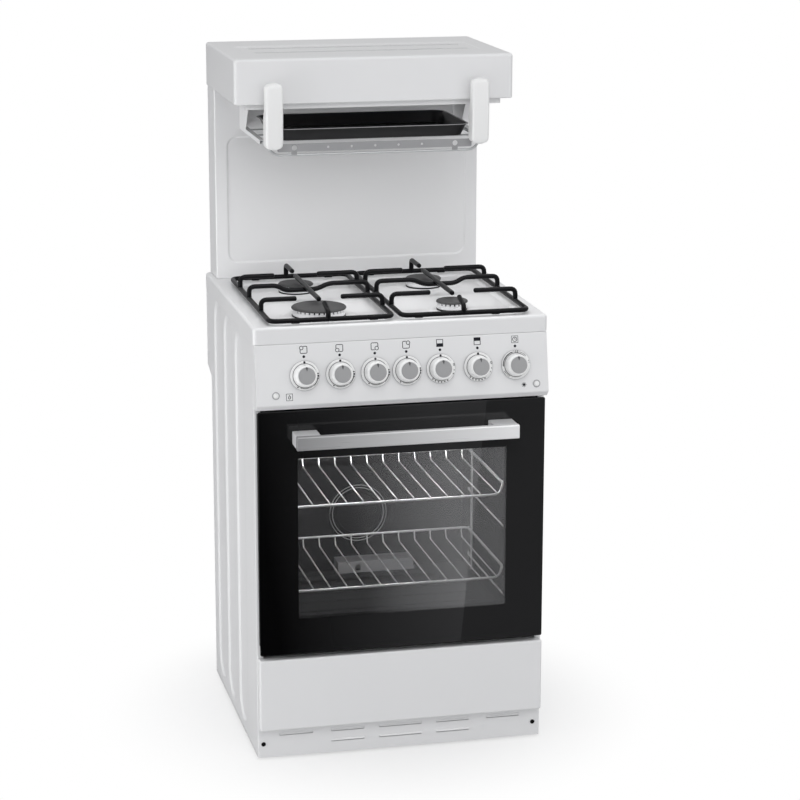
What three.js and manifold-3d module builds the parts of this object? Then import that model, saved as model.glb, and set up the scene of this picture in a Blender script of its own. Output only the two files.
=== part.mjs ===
// Freestanding gas cooker with an eye level grill, in millimetres.
// x runs across and z up from the floor. y is drawn from the hob's front edge towards the back,
// and the last lines move the whole cooker so that the origin lies under the middle of its box.
import * as THREE from 'three';
import { mergeVertices } from 'three/addons/utils/BufferGeometryUtils.js';
import Module from 'manifold-3d';

// ---------------------------------------------------------------- driving dimensions
const hobWidth = 600;
const hobDepth = 598;
const hobTop = 905;
const hobThickness = 34;
const cookerHeight = 1403;
const sheet = 1.2; // pressed steel
const seatGap = 0.3; // between pieces that rest on each other
const footHeight = 14;

const hobOverhang = 2; // the hob's rim past the case
const caseHalf = hobWidth / 2 - hobOverhang; // outer faces of the side panels
const footX = caseHalf - 48;
const caseFront = 12;
const caseBottom = 5;
const caseTop = hobTop - hobThickness - seatGap;
const stepReach = 52; // the case is this much deeper above the step
const stepRise = 16;
const stepDrop = 186.7; // from the case's top to the step
const splashBack = hobDepth - 1;
const lowerBack = splashBack - stepReach;
const stepBottom = caseTop - stepDrop;
const stepTop = stepBottom + stepRise;
const returnWidth = 13;
const backVents = { places: [-120, 120], length: 140, width: 6, rows: 3, pitch: 26, drop: 114 };
const trayHeight = 26;
const footRadius = 15;
const footStem = 5;
const fluteWidth = 96;
const fluteDepth = 2.5;
const fluteBottom = 28;
const flutes = [[99, 6.7], [225, 11.7], [364, 15.7]]; // centre from the lower back, top from the case's top

const reveal = 2; // the plinth and the flap stop short of the side panels
const plinthFront = 10.5;
const plinthTop = 62;
const plinthHalf = caseHalf - reveal;
const plinthReturn = 23;
const slotHeight = 4;
const lipReach = 2; // of the louvre over each slot
const slotRows = [ // each slot's centre and length, mirrored
  { z: 52, places: [[0, 90], [111, 70], [219, 70]] },
  { z: 30, places: [[0, 90], [111, 70]] },
];

const flapFront = -8;
const flapDepth = 18;
const flapHalf = caseHalf - reveal;
const flapBottom = 68;
const flapTop = 219;
const flapPivot = { y: 2, z: 74 };
const flapPinRadius = 3;
const earInset = 16;
const earX = flapHalf - earInset;
const linerInset = 30;
const linerHalf = caseHalf - linerInset;
const linerFront = 22;
const linerBack = 430;
const linerBottom = 76;
const linerTop = 212;
const linerFlange = { below: 8, above: 6 };

const fasciaLean = 22; // the fascia's lower edge stands further forward
const fasciaDrop = 118.7; // from the case's top to the knee
const fasciaTuck = 10.7; // below the knee
const fasciaKnee = caseTop - fasciaDrop;
const fasciaBottom = fasciaKnee - fasciaTuck;
const fasciaSheet = 1.5;
const knobDrop = 62.7; // from the case's top
const knobHeight = caseTop - knobDrop;
const knobSkirtRadius = 30;
const knobRadius = 25;
const knobReach = 27;
const knobDisc = 17.5;
const spindleRadius = 4;
const knobPlaces = [-200, -128, -57, 7, 76, 153, 231];
const buttonRadius = 5.2;
const buttonTravel = 3.5;
const buttonPlaces = { ignition_button: [39 - caseHalf, -37], light_button: [caseHalf - 25, -40] };
const tapRadius = 11;
const railRadius = 8;
const tapFace = 16;
const inletX = caseHalf - 36;

const doorGap = 4.3;
const doorReveal = 3.5;
const doorHalf = caseHalf - doorReveal;
const doorBottom = 230.5;
const doorTop = fasciaBottom - doorGap;
const doorFront = -10;
const glassThickness = 4;
const doorPivot = { y: 4, z: 238 };
const doorPinRadius = 3;
const pinClearance = 0.5;
const innerInset = 12.5; // the inner panel behind the glass's edge
const innerHalf = doorHalf - innerInset;
const innerBack = 22;
const innerBottom = 233;
const innerTop = doorTop - 3;
const windowInset = 79.5;
const windowDrop = 98;
const windowHalf = doorHalf - windowInset;
const windowBottom = 304;
const windowTop = doorTop - windowDrop;
const sealHeight = 8;
const hingeInset = 24;
const hingeX = innerHalf - hingeInset;

const flangeFront = 30; // the oven's front frame
const flangeHalf = caseHalf - sheet - seatGap;
const flangeBottom = 226;
const flangeTop = doorTop + 1;
const cavityInset = 62;
const cavityHalf = caseHalf - cavityInset;
const cavityBack = 420;
const cavityFloor = 262;
const roofDrop = 47;
const cavityRoof = doorTop - roofDrop;
const cavityWall = 1.5;
const pressedRingRadius = 63;
const pressedRingHeight = 390;
const lampX = 150;
const lampDrop = 90;
const lampHeight = cavityRoof - lampDrop;
const lampHole = 22;
const floorBands = { places: [90, 150, 210, 270], width: 24, inset: 30 };
const flueSlot = { half: 90, front: 30, back: 12 }; // ahead of the cavity's rear wall
const blanket = 32; // thickness of the insulation
const burnerTube = { half: 150, y: 340, radius: 8, rise: 9 };
const burnerCover = { left: -54, right: 114, front: 368, height: 30 };

const handleReach = 66; // front of the handle's bar, ahead of the hob's edge
const handleInset = 68.5;
const handleDrop = 68;
const handleHalf = doorHalf - handleInset;
const handleBottom = doorTop - handleDrop;
const handleHeight = 28;
const handleBar = 14;
const postWidth = 50;

const shelfWire = 3;
const crossWire = 2;
const shelfPlay = 10; // beside the shelf
const shelfHalf = cavityHalf - shelfPlay;
const shelfFront = 44;
const shelfBack = 334;
const shelfStep = 22; // the back and side wires stand this much above the front one
const lowerShelf = cavityFloor + 83; // height of the front wire
const rackPitch = (cavityRoof - cavityFloor - 72) / 4;
const shelfLevels = [lowerShelf + 2 * rackPitch, lowerShelf];
const crossWires = 13;
const rackWire = 2.5;
const rackPosts = [64, 330];
const rackBar = { front: 40, back: 354, bend: 12 };
const rackLevels = [lowerShelf - 57, ...[0, 1, 2, 3].map((i) => lowerShelf + i * rackPitch)];

const burnerX = { left: -146, right: 130 };
const burnerFront = 112;
const burnerRear = 357;
const burners = {
  left_rear: [burnerX.left, burnerRear, 37],
  left_front: [burnerX.left, burnerFront, 55.5],
  right_rear: [burnerX.right, burnerRear, 38],
  right_front: [burnerX.right, burnerFront, 32.5],
};
const wellDepth = 4;
const wellInset = 48;
const well = { half: hobWidth / 2 - wellInset, front: 28, back: 448, corner: 26 };
const capThickness = 6;
const crownHeight = 15;

const rod = 5; // radius of the pan supports' rod
const supportInner = { left: -15, right: 4 };
const supportInset = 36.5;
const supportOuter = hobWidth / 2 - supportInset;
const supportFront = 16.5;
const supportBack = 466;
const supportFrameZ = hobTop + 8.5;
const fingerZ = hobTop + 33;
const fingerGap = 50; // from a burner's middle to a finger's tip
const spineZ = fingerZ - 3; // the spine lies in the wave's dip, just under the fingers
const dipZ = spineZ - 1.6 * rod;
const padPlaces = [66, -92]; // from a support's middle, outward
const waveBends = { outer: [60, 42], inner: [24, 48] }; // the dip's bends, from the burners' middle
const frontTip = 60; // from the front burner's middle to its finger
const rearTip = 40;
const waveY = 250;

const splashInset = 12;
const splashHalf = hobWidth / 2 - splashInset;
const splashThickness = 82;
const splashFront = splashBack - splashThickness;
const embossInset = 24;
const embossHalf = splashHalf - embossInset;
const embossDepth = 3;
const embossRise = 31;
const embossDrop = 191;
const embossBottom = hobTop + embossRise;
const embossTop = cookerHeight - embossDrop;

const hoodInset = 10;
const hoodHalf = hobWidth / 2 - hoodInset;
const hoodBack = splashBack + 3;
const hoodDepth = 360;
const hoodFront = hoodBack - hoodDepth;
const hoodRise = 92;
const hoodBottom = cookerHeight - hoodRise;
const hoodSheet = 1.5;
const ventInset = 62;
const ventHalf = hoodHalf - ventInset;
const ventWidth = 15;
const ventPlaces = [130, 210]; // from the hood's front
const rearVents = { places: [-120, 0, 120], length: 80, width: 8, drop: 67 };

const chassisInset = 24;
const chassisHalf = hoodHalf - chassisInset;
const chassisFront = hoodFront + 12;
const chassisBottom = hoodBottom - 11;
const chassisTop = chassisBottom + 50;
const hangerDepth = 120;
const grillPlace = 138; // the grill burner's middle, from the hood's front
const grillHalf = { x: 170, y: 52 };
const grillDepth = 22;
const grooves = { each: 4, pitch: 36, width: 8, inset: 12 }; // four on each side of the middle one
const railInset = 38;
const railX = chassisHalf - railInset; // the grill carriage's side wires
const railDrop = 80;
const railZ = hoodBottom - railDrop;
const railFront = hoodFront + 32;
const carriageWire = 2.5;
const carriageDrop = 24; // the front wire hangs this far under the channels
const carriageCross = [38, 123, 208]; // cross wires, from the pan's front
const carriageFront = hoodFront + 6;
const carriageBack = splashFront - 15;
const stripTop = railZ - 1;
const stripHeight = 16;
const stripBottom = stripTop - stripHeight;
const stripMiddle = railZ - 9;
const stripHalf = railX - 25;
const stripHole = stripHalf - 35;
const stripHoles = { pitch: 49, radius: 2.5 };
const boltRadius = 5;
const grillHandleX = railX - 14;
const grillHandleWidth = 36;
const grillHandleBottom = railZ - 9;
const grillHandleTop = hoodBottom + 46;
const grillHandleFront = hoodFront - 34;
const grillHandleCorner = 12;
const panHalf = railX - 23;
const panFront = chassisFront;
const panBack = splashFront - 21;
const panDepth = 25;
const panSlope = 16;

// ---------------------------------------------------------------- materials
const paint = (color, roughness, metalness = 0) => new THREE.MeshStandardMaterial({ color, roughness, metalness });
const whiteEnamel = paint(0xf2f2f0, 0.25);
const whitePlastic = paint(0xededea, 0.35);
const galvanised = paint(0x9fa3a6, 0.5, 0.8);
const chrome = paint(0xc9ccce, 0.15, 1);
const steel = paint(0xb9babb, 0.3, 0.9);
const aluminium = paint(0xc2c4c5, 0.35, 0.9);
const blackRod = paint(0x1b1b1b, 0.5);
const blackEnamel = paint(0x17181a, 0.25);
const greyEnamel = paint(0x3b3d40, 0.3);
const blackGlass = paint(0x0b0b0c, 0.05);
const sealCord = paint(0x2a2a2a, 0.8);
const lampGlass = paint(0xdedad0, 0.1);
const wool = paint(0xcfc8a8, 0.9);

// ---------------------------------------------------------------- solids from three.js geometries
const wasm = await Module();
wasm.setup();

function solid(geometry) {
  const bare = geometry.clone();
  bare.deleteAttribute('normal');
  bare.deleteAttribute('uv');
  const merged = mergeVertices(bare, 1e-4);
  const corners = merged.index.array;
  const faces = [];
  for (let i = 0; i < corners.length; i += 3) {
    const [a, b, c] = [corners[i], corners[i + 1], corners[i + 2]];
    // a revolved outline leaves faces without area where it meets its axis
    if (a !== b && b !== c && c !== a) faces.push(a, b, c);
  }
  const make = (triVerts) => new wasm.Manifold(
    new wasm.Mesh({ numProp: 3, vertProperties: merged.attributes.position.array, triVerts }));
  const made = make(new Uint32Array(faces));
  return made.volume() > 0 ? made : make(new Uint32Array(faces.reverse()));
}

function geometryOf(shape) {
  const mesh = shape.getMesh();
  const geometry = new THREE.BufferGeometry();
  geometry.setAttribute('position', new THREE.BufferAttribute(mesh.vertProperties, 3));
  geometry.setIndex(new THREE.BufferAttribute(mesh.triVerts, 1));
  geometry.computeVertexNormals();
  return geometry;
}

const join = (...parts) => parts.flat().reduce((a, b) => a.add(b));
const cut = (from, ...tools) => tools.flat().reduce((a, b) => a.subtract(b), from);

function box(x0, x1, y0, y1, z0, z1) {
  const geometry = new THREE.BoxGeometry(Math.abs(x1 - x0), y1 - y0, z1 - z0);
  geometry.translate((x0 + x1) / 2, (y0 + y1) / 2, (z0 + z1) / 2);
  return solid(geometry);
}

function outline(points) {
  return new THREE.Shape(points.map(([a, b]) => new THREE.Vector2(a, b)));
}

function roundedRect(a0, b0, a1, b1, r) {
  const shape = new THREE.Shape();
  shape.moveTo(a0 + r, b0);
  shape.lineTo(a1 - r, b0);
  shape.absarc(a1 - r, b0 + r, r, -Math.PI / 2, 0);
  shape.lineTo(a1, b1 - r);
  shape.absarc(a1 - r, b1 - r, r, 0, Math.PI / 2);
  shape.lineTo(a0 + r, b1);
  shape.absarc(a0 + r, b1 - r, r, Math.PI / 2, Math.PI);
  shape.lineTo(a0, b0 + r);
  shape.absarc(a0 + r, b0 + r, r, Math.PI, Math.PI * 1.5);
  return shape;
}

// Rounded at the front corners only.
function frontRounded(half, front, back, r) {
  const shape = new THREE.Shape();
  shape.moveTo(-half, back);
  shape.lineTo(-half, front + r);
  shape.absarc(-half + r, front + r, r, Math.PI, Math.PI * 1.5);
  shape.absarc(half - r, front + r, r, -Math.PI / 2, 0);
  shape.lineTo(half, back);
  return shape;
}

function ring(outer, inner) {
  outer.holes.push(inner);
  return outer;
}

// The three sweeps take an outline in (x, y), (x, z) or (y, z) along the axis that is left.
function sweep(shape, depth, round) {
  return new THREE.ExtrudeGeometry(shape, { depth, bevelEnabled: false, curveSegments: round });
}

function sweepZ(shape, z0, z1, round = 4) {
  return solid(sweep(shape, z1 - z0, round).translate(0, 0, z0));
}

function sweepY(shape, y0, y1, round = 4) {
  return solid(sweep(shape, y1 - y0, round).rotateX(Math.PI / 2).translate(0, y1, 0));
}

function sweepX(shape, xa, xb, round = 4) {
  const turn = new THREE.Matrix4().makeBasis(
    new THREE.Vector3(0, 1, 0), new THREE.Vector3(0, 0, 1), new THREE.Vector3(1, 0, 0));
  return solid(sweep(shape, Math.abs(xb - xa), round).applyMatrix4(turn).translate(Math.min(xa, xb), 0, 0));
}

const beyond = 4 * hobWidth;

// An outline that grows by `grow` on every side between z0 and z1.
function flared(shape, z0, z1, grow, round = 4) {
  const rise = z1 - z0;
  const geometry = new THREE.ExtrudeGeometry(shape, {
    depth: 1, bevelThickness: rise, bevelSize: grow, bevelSegments: 1, curveSegments: round });
  return solid(geometry.translate(0, 0, z1)).intersect(box(-beyond, beyond, -beyond, beyond, z0, z1));
}

function revolve(profile, segments = 24) {
  const points = profile.map(([r, z]) => new THREE.Vector2(r, z));
  return solid(new THREE.LatheGeometry(points, segments).rotateX(Math.PI / 2));
}

function pin(x0, x1, y, z, radius, segments = 16) {
  const geometry = new THREE.CylinderGeometry(radius, radius, Math.abs(x1 - x0), segments);
  return solid(geometry.rotateZ(Math.PI / 2).translate((x0 + x1) / 2, y, z));
}

// A rod's route: straight between its corners, with each corner bent round.
class BentRoute extends THREE.Curve {
  constructor(corners, bend, steps) {
    super();
    const points = corners.map((corner) => new THREE.Vector3(...corner));
    this.knots = [points[0]];
    for (let i = 1; i < points.length - 1; i++) {
      const into = points[i].clone().sub(points[i - 1]);
      const away = points[i + 1].clone().sub(points[i]);
      const reach = Math.min(bend, into.length() / 2.1, away.length() / 2.1);
      const start = points[i].clone().addScaledVector(into.normalize(), -reach);
      const end = points[i].clone().addScaledVector(away.normalize(), reach);
      this.knots.push(...new THREE.QuadraticBezierCurve3(start, points[i], end).getPoints(steps));
    }
    this.knots.push(points[points.length - 1]);
    this.runs = this.knots.length - 1;
  }

  getPointAt(u, target = new THREE.Vector3()) {
    return target.copy(this.knots[Math.round(u * this.runs)]);
  }

  getTangentAt(u, target = new THREE.Vector3()) {
    const i = Math.round(u * this.runs);
    const before = this.knots[Math.max(i - 1, 0)];
    const here = this.knots[i];
    const after = this.knots[Math.min(i + 1, this.runs)];
    const into = here.clone().sub(before).normalize();
    const away = after.clone().sub(here).normalize();
    return target.copy(into).add(away).normalize();
  }
}

function bentRod(corners, radius, { sides = 5, bend = 9, steps = 1 } = {}) {
  const path = new BentRoute(corners, bend, steps);
  const section = [];
  for (let i = 0; i < sides; i++) {
    const angle = (i / sides) * Math.PI * 2;
    section.push([Math.cos(angle) * radius, Math.sin(angle) * radius]);
  }
  return solid(new THREE.ExtrudeGeometry(outline(section), { steps: path.runs, extrudePath: path }));
}

// ---------------------------------------------------------------- the scene graph
const cooker = new THREE.Group();

function add(name, shape, material, parent = cooker) {
  const mesh = new THREE.Mesh(geometryOf(shape), material);
  mesh.name = name;
  parent.add(mesh);
  return mesh;
}

const sides = { left: -1, right: 1 };

// ---------------------------------------------------------------- case
function fluteShape(y, top, width) {
  const r = width / 2;
  return roundedRect(y - r, fluteBottom + (fluteWidth - width) / 2, y + r, top - (fluteWidth - width) / 2, r - 0.01);
}

function sidePanel(side) {
  const face = side * caseHalf;
  const back = side * (caseHalf - sheet);
  const edge = outline([[caseFront, caseBottom], [lowerBack, caseBottom], [lowerBack, stepBottom],
    [splashBack + 1, stepTop], [splashBack + 1, caseTop], [caseFront, caseTop]]);
  const plate = sweepX(edge, face, back);
  const fold = box(face, face - side * returnWidth, caseFront, caseFront + sheet, caseBottom, caseTop);
  const backs = flutes.map(([y, top]) =>
    sweepX(fluteShape(lowerBack - y, caseTop - top, fluteWidth + 2 * sheet), back,
      face - side * (fluteDepth + sheet), 2));
  const presses = flutes.map(([y, top]) =>
    sweepX(fluteShape(lowerBack - y, caseTop - top, fluteWidth), face + side, face - side * fluteDepth, 2));
  return cut(join(plate, fold, backs), presses);
}

for (const [name, side] of Object.entries(sides)) add(`side_panel_${name}`, sidePanel(side), whiteEnamel);

function backPanel() {
  const half = caseHalf - sheet - seatGap;
  const low = lowerBack - 2 * sheet;
  const high = splashBack - sheet;
  const skin = outline([[low, caseBottom + 20], [low + sheet, caseBottom + 20], [low + sheet, stepBottom - 1],
    [high + sheet, stepTop - 1], [high + sheet, caseTop], [high, caseTop], [high, stepTop], [low, stepBottom]]);
  const plate = sweepX(skin, -half, half);
  const vents = [];
  const { places, length, width, rows, pitch, drop } = backVents;
  for (const x of places) {
    for (let row = 0; row < rows; row++) {
      const z = stepBottom - drop + row * pitch;
      const slot = roundedRect(x - length / 2, z - width / 2, x + length / 2, z + width / 2, width / 2 - 0.1);
      vents.push(sweepY(slot, low - 1, low + 2 * sheet, 1));
    }
  }
  const through = new THREE.CylinderGeometry(railRadius + 1.5, railRadius + 1.5, 20, 12);
  return cut(plate, vents, solid(through.translate(inletX, high, knobHeight)));
}

add('back_panel', backPanel(), galvanised);

function baseTray() {
  const half = caseHalf - fluteDepth - sheet - seatGap;
  const back = lowerBack - 2 * sheet - seatGap;
  const front = plinthFront + plinthReturn + 2 * sheet;
  const outer = box(-half, half, front, back, footHeight, footHeight + trayHeight);
  const hollow = box(-half + sheet, half - sheet, front + sheet, back - sheet, footHeight + sheet,
    footHeight + trayHeight + 1);
  return cut(outer, hollow);
}

add('base_tray', baseTray(), galvanised);

function foot() {
  return revolve([[0, 0], [footRadius, 0], [footRadius + 1, 6], [footStem, 8], [footStem, footHeight - seatGap],
    [0, footHeight - seatGap]], 10);
}

for (const [name, side] of Object.entries(sides)) {
  for (const [end, y] of [['front', 70], ['rear', lowerBack - 60]]) {
    add(`foot_${end}_${name}`, foot(), sealCord).position.set(side * footX, y, 0);
  }
}

function plinth() {
  const inner = caseHalf - returnWidth - 2 * sheet;
  const face = box(-plinthHalf, plinthHalf, plinthFront, plinthFront + sheet, caseBottom, plinthTop);
  const top = box(-inner, inner, plinthFront, plinthFront + plinthReturn, plinthTop - sheet, plinthTop);
  const bottom = box(-inner, inner, plinthFront, plinthFront + plinthReturn, caseBottom, caseBottom + sheet);
  const lips = [];
  const slots = [];
  for (const { z, places } of slotRows) {
    const lip = outline([[plinthFront + sheet / 2, z + slotHeight], [plinthFront - lipReach, z + 1],
      [plinthFront - lipReach, z], [plinthFront + sheet / 2, z + slotHeight - 1]]);
    for (const [centre, length] of places) {
      for (const x of new Set([centre, -centre])) {
        const [left, right] = [x - length / 2, x + length / 2];
        lips.push(sweepX(lip, left, right));
        slots.push(box(left, right, plinthFront - 1, plinthFront + 2, z - slotHeight / 2, z + slotHeight / 2));
      }
    }
  }
  return join(cut(join(face, top, bottom), slots), lips);
}

add('plinth', plinth(), whiteEnamel);

// ---------------------------------------------------------------- storage compartment and its flap
function storageLiner() {
  const shell = cut(
    box(-linerHalf, linerHalf, linerFront, linerBack, linerBottom, linerTop),
    box(-linerHalf + sheet, linerHalf - sheet, linerFront - 1, linerBack - sheet, linerBottom + sheet,
      linerTop - sheet));
  const flange = cut(
    box(-flangeHalf, flangeHalf, linerFront - sheet, linerFront, linerBottom - linerFlange.below,
      linerTop + linerFlange.above),
    box(-linerHalf + sheet, linerHalf - sheet, linerFront - 3, linerFront + 1, linerBottom + sheet,
      linerTop - sheet));
  const ears = Object.values(sides).map((side) => join(
    box(side * earX, side * (earX + sheet), flapPivot.y - 4, linerFront, flapBottom, flapPivot.z + 8),
    pin(side * earX, side * (flapHalf - 0.6), flapPivot.y, flapPivot.z, flapPinRadius)));
  return join(shell, flange, ears);
}

add('storage_liner', storageLiner(), galvanised);

function storageFlap() {
  const tray = cut(
    sweepY(roundedRect(-flapHalf, flapBottom, flapHalf, flapTop, 3), flapFront, flapFront + flapDepth, 2),
    box(-flapHalf + sheet, flapHalf - sheet, flapFront + sheet, flapFront + flapDepth + 1,
      flapBottom + sheet, flapTop - sheet));
  const holes = pin(-flapHalf - 1, flapHalf + 1, flapPivot.y, flapPivot.z, flapPinRadius + pinClearance);
  const notches = Object.values(sides).map((side) => box(side * (earX - 3), side * (earX + 4),
    flapPivot.y - 6, flapFront + flapDepth + 1, flapBottom - 1, flapBottom + sheet + 0.5));
  return cut(tray, holes, notches);
}

add('storage_flap', storageFlap(), whiteEnamel);

// ---------------------------------------------------------------- oven
function ovenCavity() {
  const back = flangeFront + cavityWall;
  const shell = box(-cavityHalf - cavityWall, cavityHalf + cavityWall, flangeFront, cavityBack + cavityWall,
    cavityFloor - cavityWall, cavityRoof + cavityWall);
  const frame = box(-flangeHalf, flangeHalf, flangeFront, back, flangeBottom, flangeTop);
  const mouth = box(-cavityHalf, cavityHalf, flangeFront - 1, cavityBack, cavityFloor, cavityRoof);
  // a round pad pressed back out of the rear wall, with a smaller one standing forward in it
  const disc = (r, depth) => solid(geometryOf(revolve([[0, -1], [r + 2, -1], [r, depth], [0, depth]], 18))
    .rotateX(-Math.PI / 2).translate(0, cavityBack, pressedRingHeight));
  const pads = disc(pressedRingRadius + cavityWall, 3 + cavityWall);
  const presses = disc(pressedRingRadius, 3);
  const boss = cut(disc(pressedRingRadius - 16, 3 + cavityWall), disc(pressedRingRadius - 18, 1.5));
  const bandHalf = cavityHalf - floorBands.inset;
  const bands = floorBands.places.map((y) => box(-bandHalf, bandHalf, y, y + floorBands.width,
    cavityFloor - 0.5, cavityFloor + 2));
  const lampBore = new THREE.CylinderGeometry(lampHole, lampHole, 20, 16).translate(lampX, cavityBack, lampHeight);
  const flue = box(-flueSlot.half, flueSlot.half, cavityBack - flueSlot.front, cavityBack - flueSlot.back,
    cavityRoof - 2, cavityRoof + 4);
  return join(cut(join(shell, frame, pads), mouth, presses, flue, solid(lampBore)), boss, bands);
}

add('oven_cavity', ovenCavity(), greyEnamel);

function insulation() {
  const clear = cavityWall + seatGap;
  const [front, back] = [2 * flangeFront, cavityBack - 20];
  const half = cavityHalf + blanket;
  const body = box(-half, half, front, back, cavityFloor - clear, cavityRoof + blanket);
  const bore = box(-cavityHalf - clear, cavityHalf + clear, front - 1, back + 1, cavityFloor - 2 * clear,
    cavityRoof + clear);
  return cut(body, bore);
}

add('oven_insulation', insulation(), wool);

function ovenLamp() {
  const lens = revolve([[0, 0], [14, 0], [20, 5], [26, 5], [26, 8.7], [21, 8.7], [21, 30], [0, 30]], 12);
  return solid(geometryOf(lens).rotateX(-Math.PI / 2).translate(lampX, cavityBack - 9, lampHeight));
}

add('oven_lamp', ovenLamp(), lampGlass);

function ovenBurner() {
  const { half, y, radius, rise } = burnerTube;
  const z = cavityFloor + rise;
  const [feedX, stayX] = [-0.4 * half, 0.7 * half];
  const stay = (x) => box(x - 6, x + 6, y - 6, y + 6, cavityFloor + seatGap, z);
  return join(
    bentRod([[-half, y, z], [half, y, z]], radius, { sides: 8 }),
    bentRod([[feedX, y, z], [feedX, y + 26, z]], radius - 2),
    stay(feedX), stay(stayX));
}

add('oven_burner', ovenBurner(), steel);

function ovenBurnerCover() {
  const { left, right, front, height } = burnerCover;
  const back = cavityBack - seatGap;
  const z = cavityFloor + seatGap;
  const t = 2;
  const profile = outline([[front, z], [back, z], [back, z + height], [front + 8, z + height]]);
  const shell = sweepX(profile, left, right);
  const hollow = sweepX(outline([[front + t + 1, z - 1], [back - t, z - 1], [back - t, z + height - t],
    [front + 8 + t, z + height - t]]), left + t, right - t);
  const eye = new THREE.CylinderGeometry(7, 7, 20, 12).translate(-10, front + 2, z + 17);
  return cut(shell, hollow, solid(eye));
}

add('oven_burner_cover', ovenBurnerCover(), greyEnamel);

function shelfRunner(side) {
  const railWireX = side * (shelfHalf + 3);
  const postX = side * (cavityHalf - seatGap - rackWire);
  const posts = rackPosts.map((y) =>
    bentRod([[postX, y, rackLevels[0] - 16], [postX, y, rackLevels[4] + 16]], rackWire, { sides: 4 }));
  const { front, back, bend } = rackBar;
  const bars = rackLevels.map((z) => {
    const low = z + shelfStep - shelfWire - rackWire - seatGap;
    return bentRod([[postX, front, low], [railWireX, front + bend, low], [railWireX, back - bend, low],
      [postX, back, low]], rackWire, { sides: 4, bend: bend / 2 });
  });
  return join(posts, bars);
}

for (const [name, side] of Object.entries(sides)) add(`shelf_runner_${name}`, shelfRunner(side), chrome);

function shelf(level) {
  const high = level + shelfStep;
  const half = (side) => bentRod([
    [-side, shelfFront, level],
    [side * (shelfHalf - 10), shelfFront, level],
    [side * shelfHalf, shelfFront + 8, high],
    [side * shelfHalf, shelfBack, high],
    [-side, shelfBack, high],
  ], shelfWire, { sides: 4, bend: 12 });
  const wires = [];
  for (let i = 0; i < crossWires; i++) {
    const x = (i / (crossWires - 1) - 0.5) * 2 * (shelfHalf - 16);
    wires.push(bentRod([[x, shelfFront, level + 4], [x, shelfBack - 10, level + 4], [x, shelfBack - 4, high]],
      crossWire, { sides: 4, bend: 7 }));
  }
  return join(half(-1), half(1), wires);
}

add('shelf_upper', shelf(shelfLevels[0]), chrome);
add('shelf_lower', shelf(shelfLevels[1]), chrome);

function doorSeal() {
  const inset = 4;
  const out = inset + sealHeight;
  return sweepY(ring(
    roundedRect(-cavityHalf - out, cavityFloor - out, cavityHalf + out, cavityRoof + out, 26),
    roundedRect(-cavityHalf - inset, cavityFloor - inset, cavityHalf + inset, cavityRoof + inset, 18)),
  innerBack + seatGap, flangeFront - seatGap, 2);
}

add('door_seal', doorSeal(), sealCord);

// ---------------------------------------------------------------- oven door
function hingeBracket(side) {
  const back = flangeFront - seatGap;
  const foot = box(side * hingeX, side * (hingeX + 18), back - 1.5, back, flangeBottom + 4, doorPivot.z + 20);
  const blade = box(side * hingeX, side * (hingeX + 3), doorPivot.y - 4, back, doorPivot.z - 6, doorPivot.z + 8);
  return join(foot, blade, pin(side * hingeX, side * (hingeX + 13), doorPivot.y, doorPivot.z, doorPinRadius));
}

for (const [name, side] of Object.entries(sides)) add(`door_hinge_${name}`, hingeBracket(side), galvanised);

function doorInnerPanel() {
  const front = doorFront + glassThickness + seatGap;
  const aperture = roundedRect(-windowHalf - 4, windowBottom - 4, windowHalf + 4, windowTop + 4, 14);
  const tray = cut(
    sweepY(roundedRect(-innerHalf, innerBottom, innerHalf, innerTop, 4), front, innerBack, 1),
    box(-innerHalf + sheet, innerHalf - sheet, front - 1, innerBack - sheet, innerBottom + sheet, innerTop - sheet),
    sweepY(aperture, innerBack - 5, innerBack + 1, 2));
  const notches = Object.values(sides).map((side) => box(side * (hingeX - 2), side * (hingeX + 5),
    front + 2, innerBack + 1, innerBottom - 1, doorPivot.z + 13));
  const ears = Object.values(sides).map((side) => cut(
    box(side * (hingeX + 6), side * (hingeX + 9), doorPivot.y - 8, innerBack - sheet / 2, innerBottom + sheet / 2,
      doorPivot.z + 12),
    pin(side * (hingeX + 5), side * (hingeX + 10), doorPivot.y, doorPivot.z, doorPinRadius + pinClearance)));
  return join(cut(tray, notches), ears);
}

add('door_inner_panel', doorInnerPanel(), blackEnamel);
add('door_outer_glass', sweepY(roundedRect(-doorHalf, doorBottom, doorHalf, doorTop, 3), doorFront,
  doorFront + glassThickness, 2), blackGlass);
add('door_inner_glass', sweepY(roundedRect(-windowHalf - 16, windowBottom - 16, windowHalf + 16, windowTop + 16, 6),
  innerBack - sheet - seatGap - glassThickness, innerBack - sheet - seatGap, 2), blackGlass);

const handleTop = handleBottom + handleHeight;
add('door_handle_bar', sweepX(roundedRect(-handleReach, handleBottom, -handleReach + handleBar, handleTop, 3),
  -handleHalf, handleHalf, 3), steel);
for (const [name, side] of Object.entries(sides)) {
  const post = sweepX(roundedRect(-handleReach + handleBar, handleBottom, doorFront, handleTop, 1.5),
    side * handleHalf, side * (handleHalf - postWidth), 1);
  add(`door_handle_post_${name}`, post, chrome);
}

// ---------------------------------------------------------------- fascia, knobs, buttons and taps
const fasciaAngle = Math.atan2(fasciaLean, caseTop - fasciaKnee);
const fascia = new THREE.Group();
fascia.position.set(0, -fasciaLean * (caseTop - knobHeight) / (caseTop - fasciaKnee), knobHeight);
fascia.rotation.x = -fasciaAngle;
cooker.add(fascia);

// A hole through the fascia's sheet, drawn in the fascia's own frame.
function fasciaHole(x, z, radius) {
  const drill = new THREE.CylinderGeometry(radius, radius, 12, 8).translate(x, 0, z);
  fascia.updateMatrix();
  return solid(drill.applyMatrix4(fascia.matrix));
}

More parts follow.
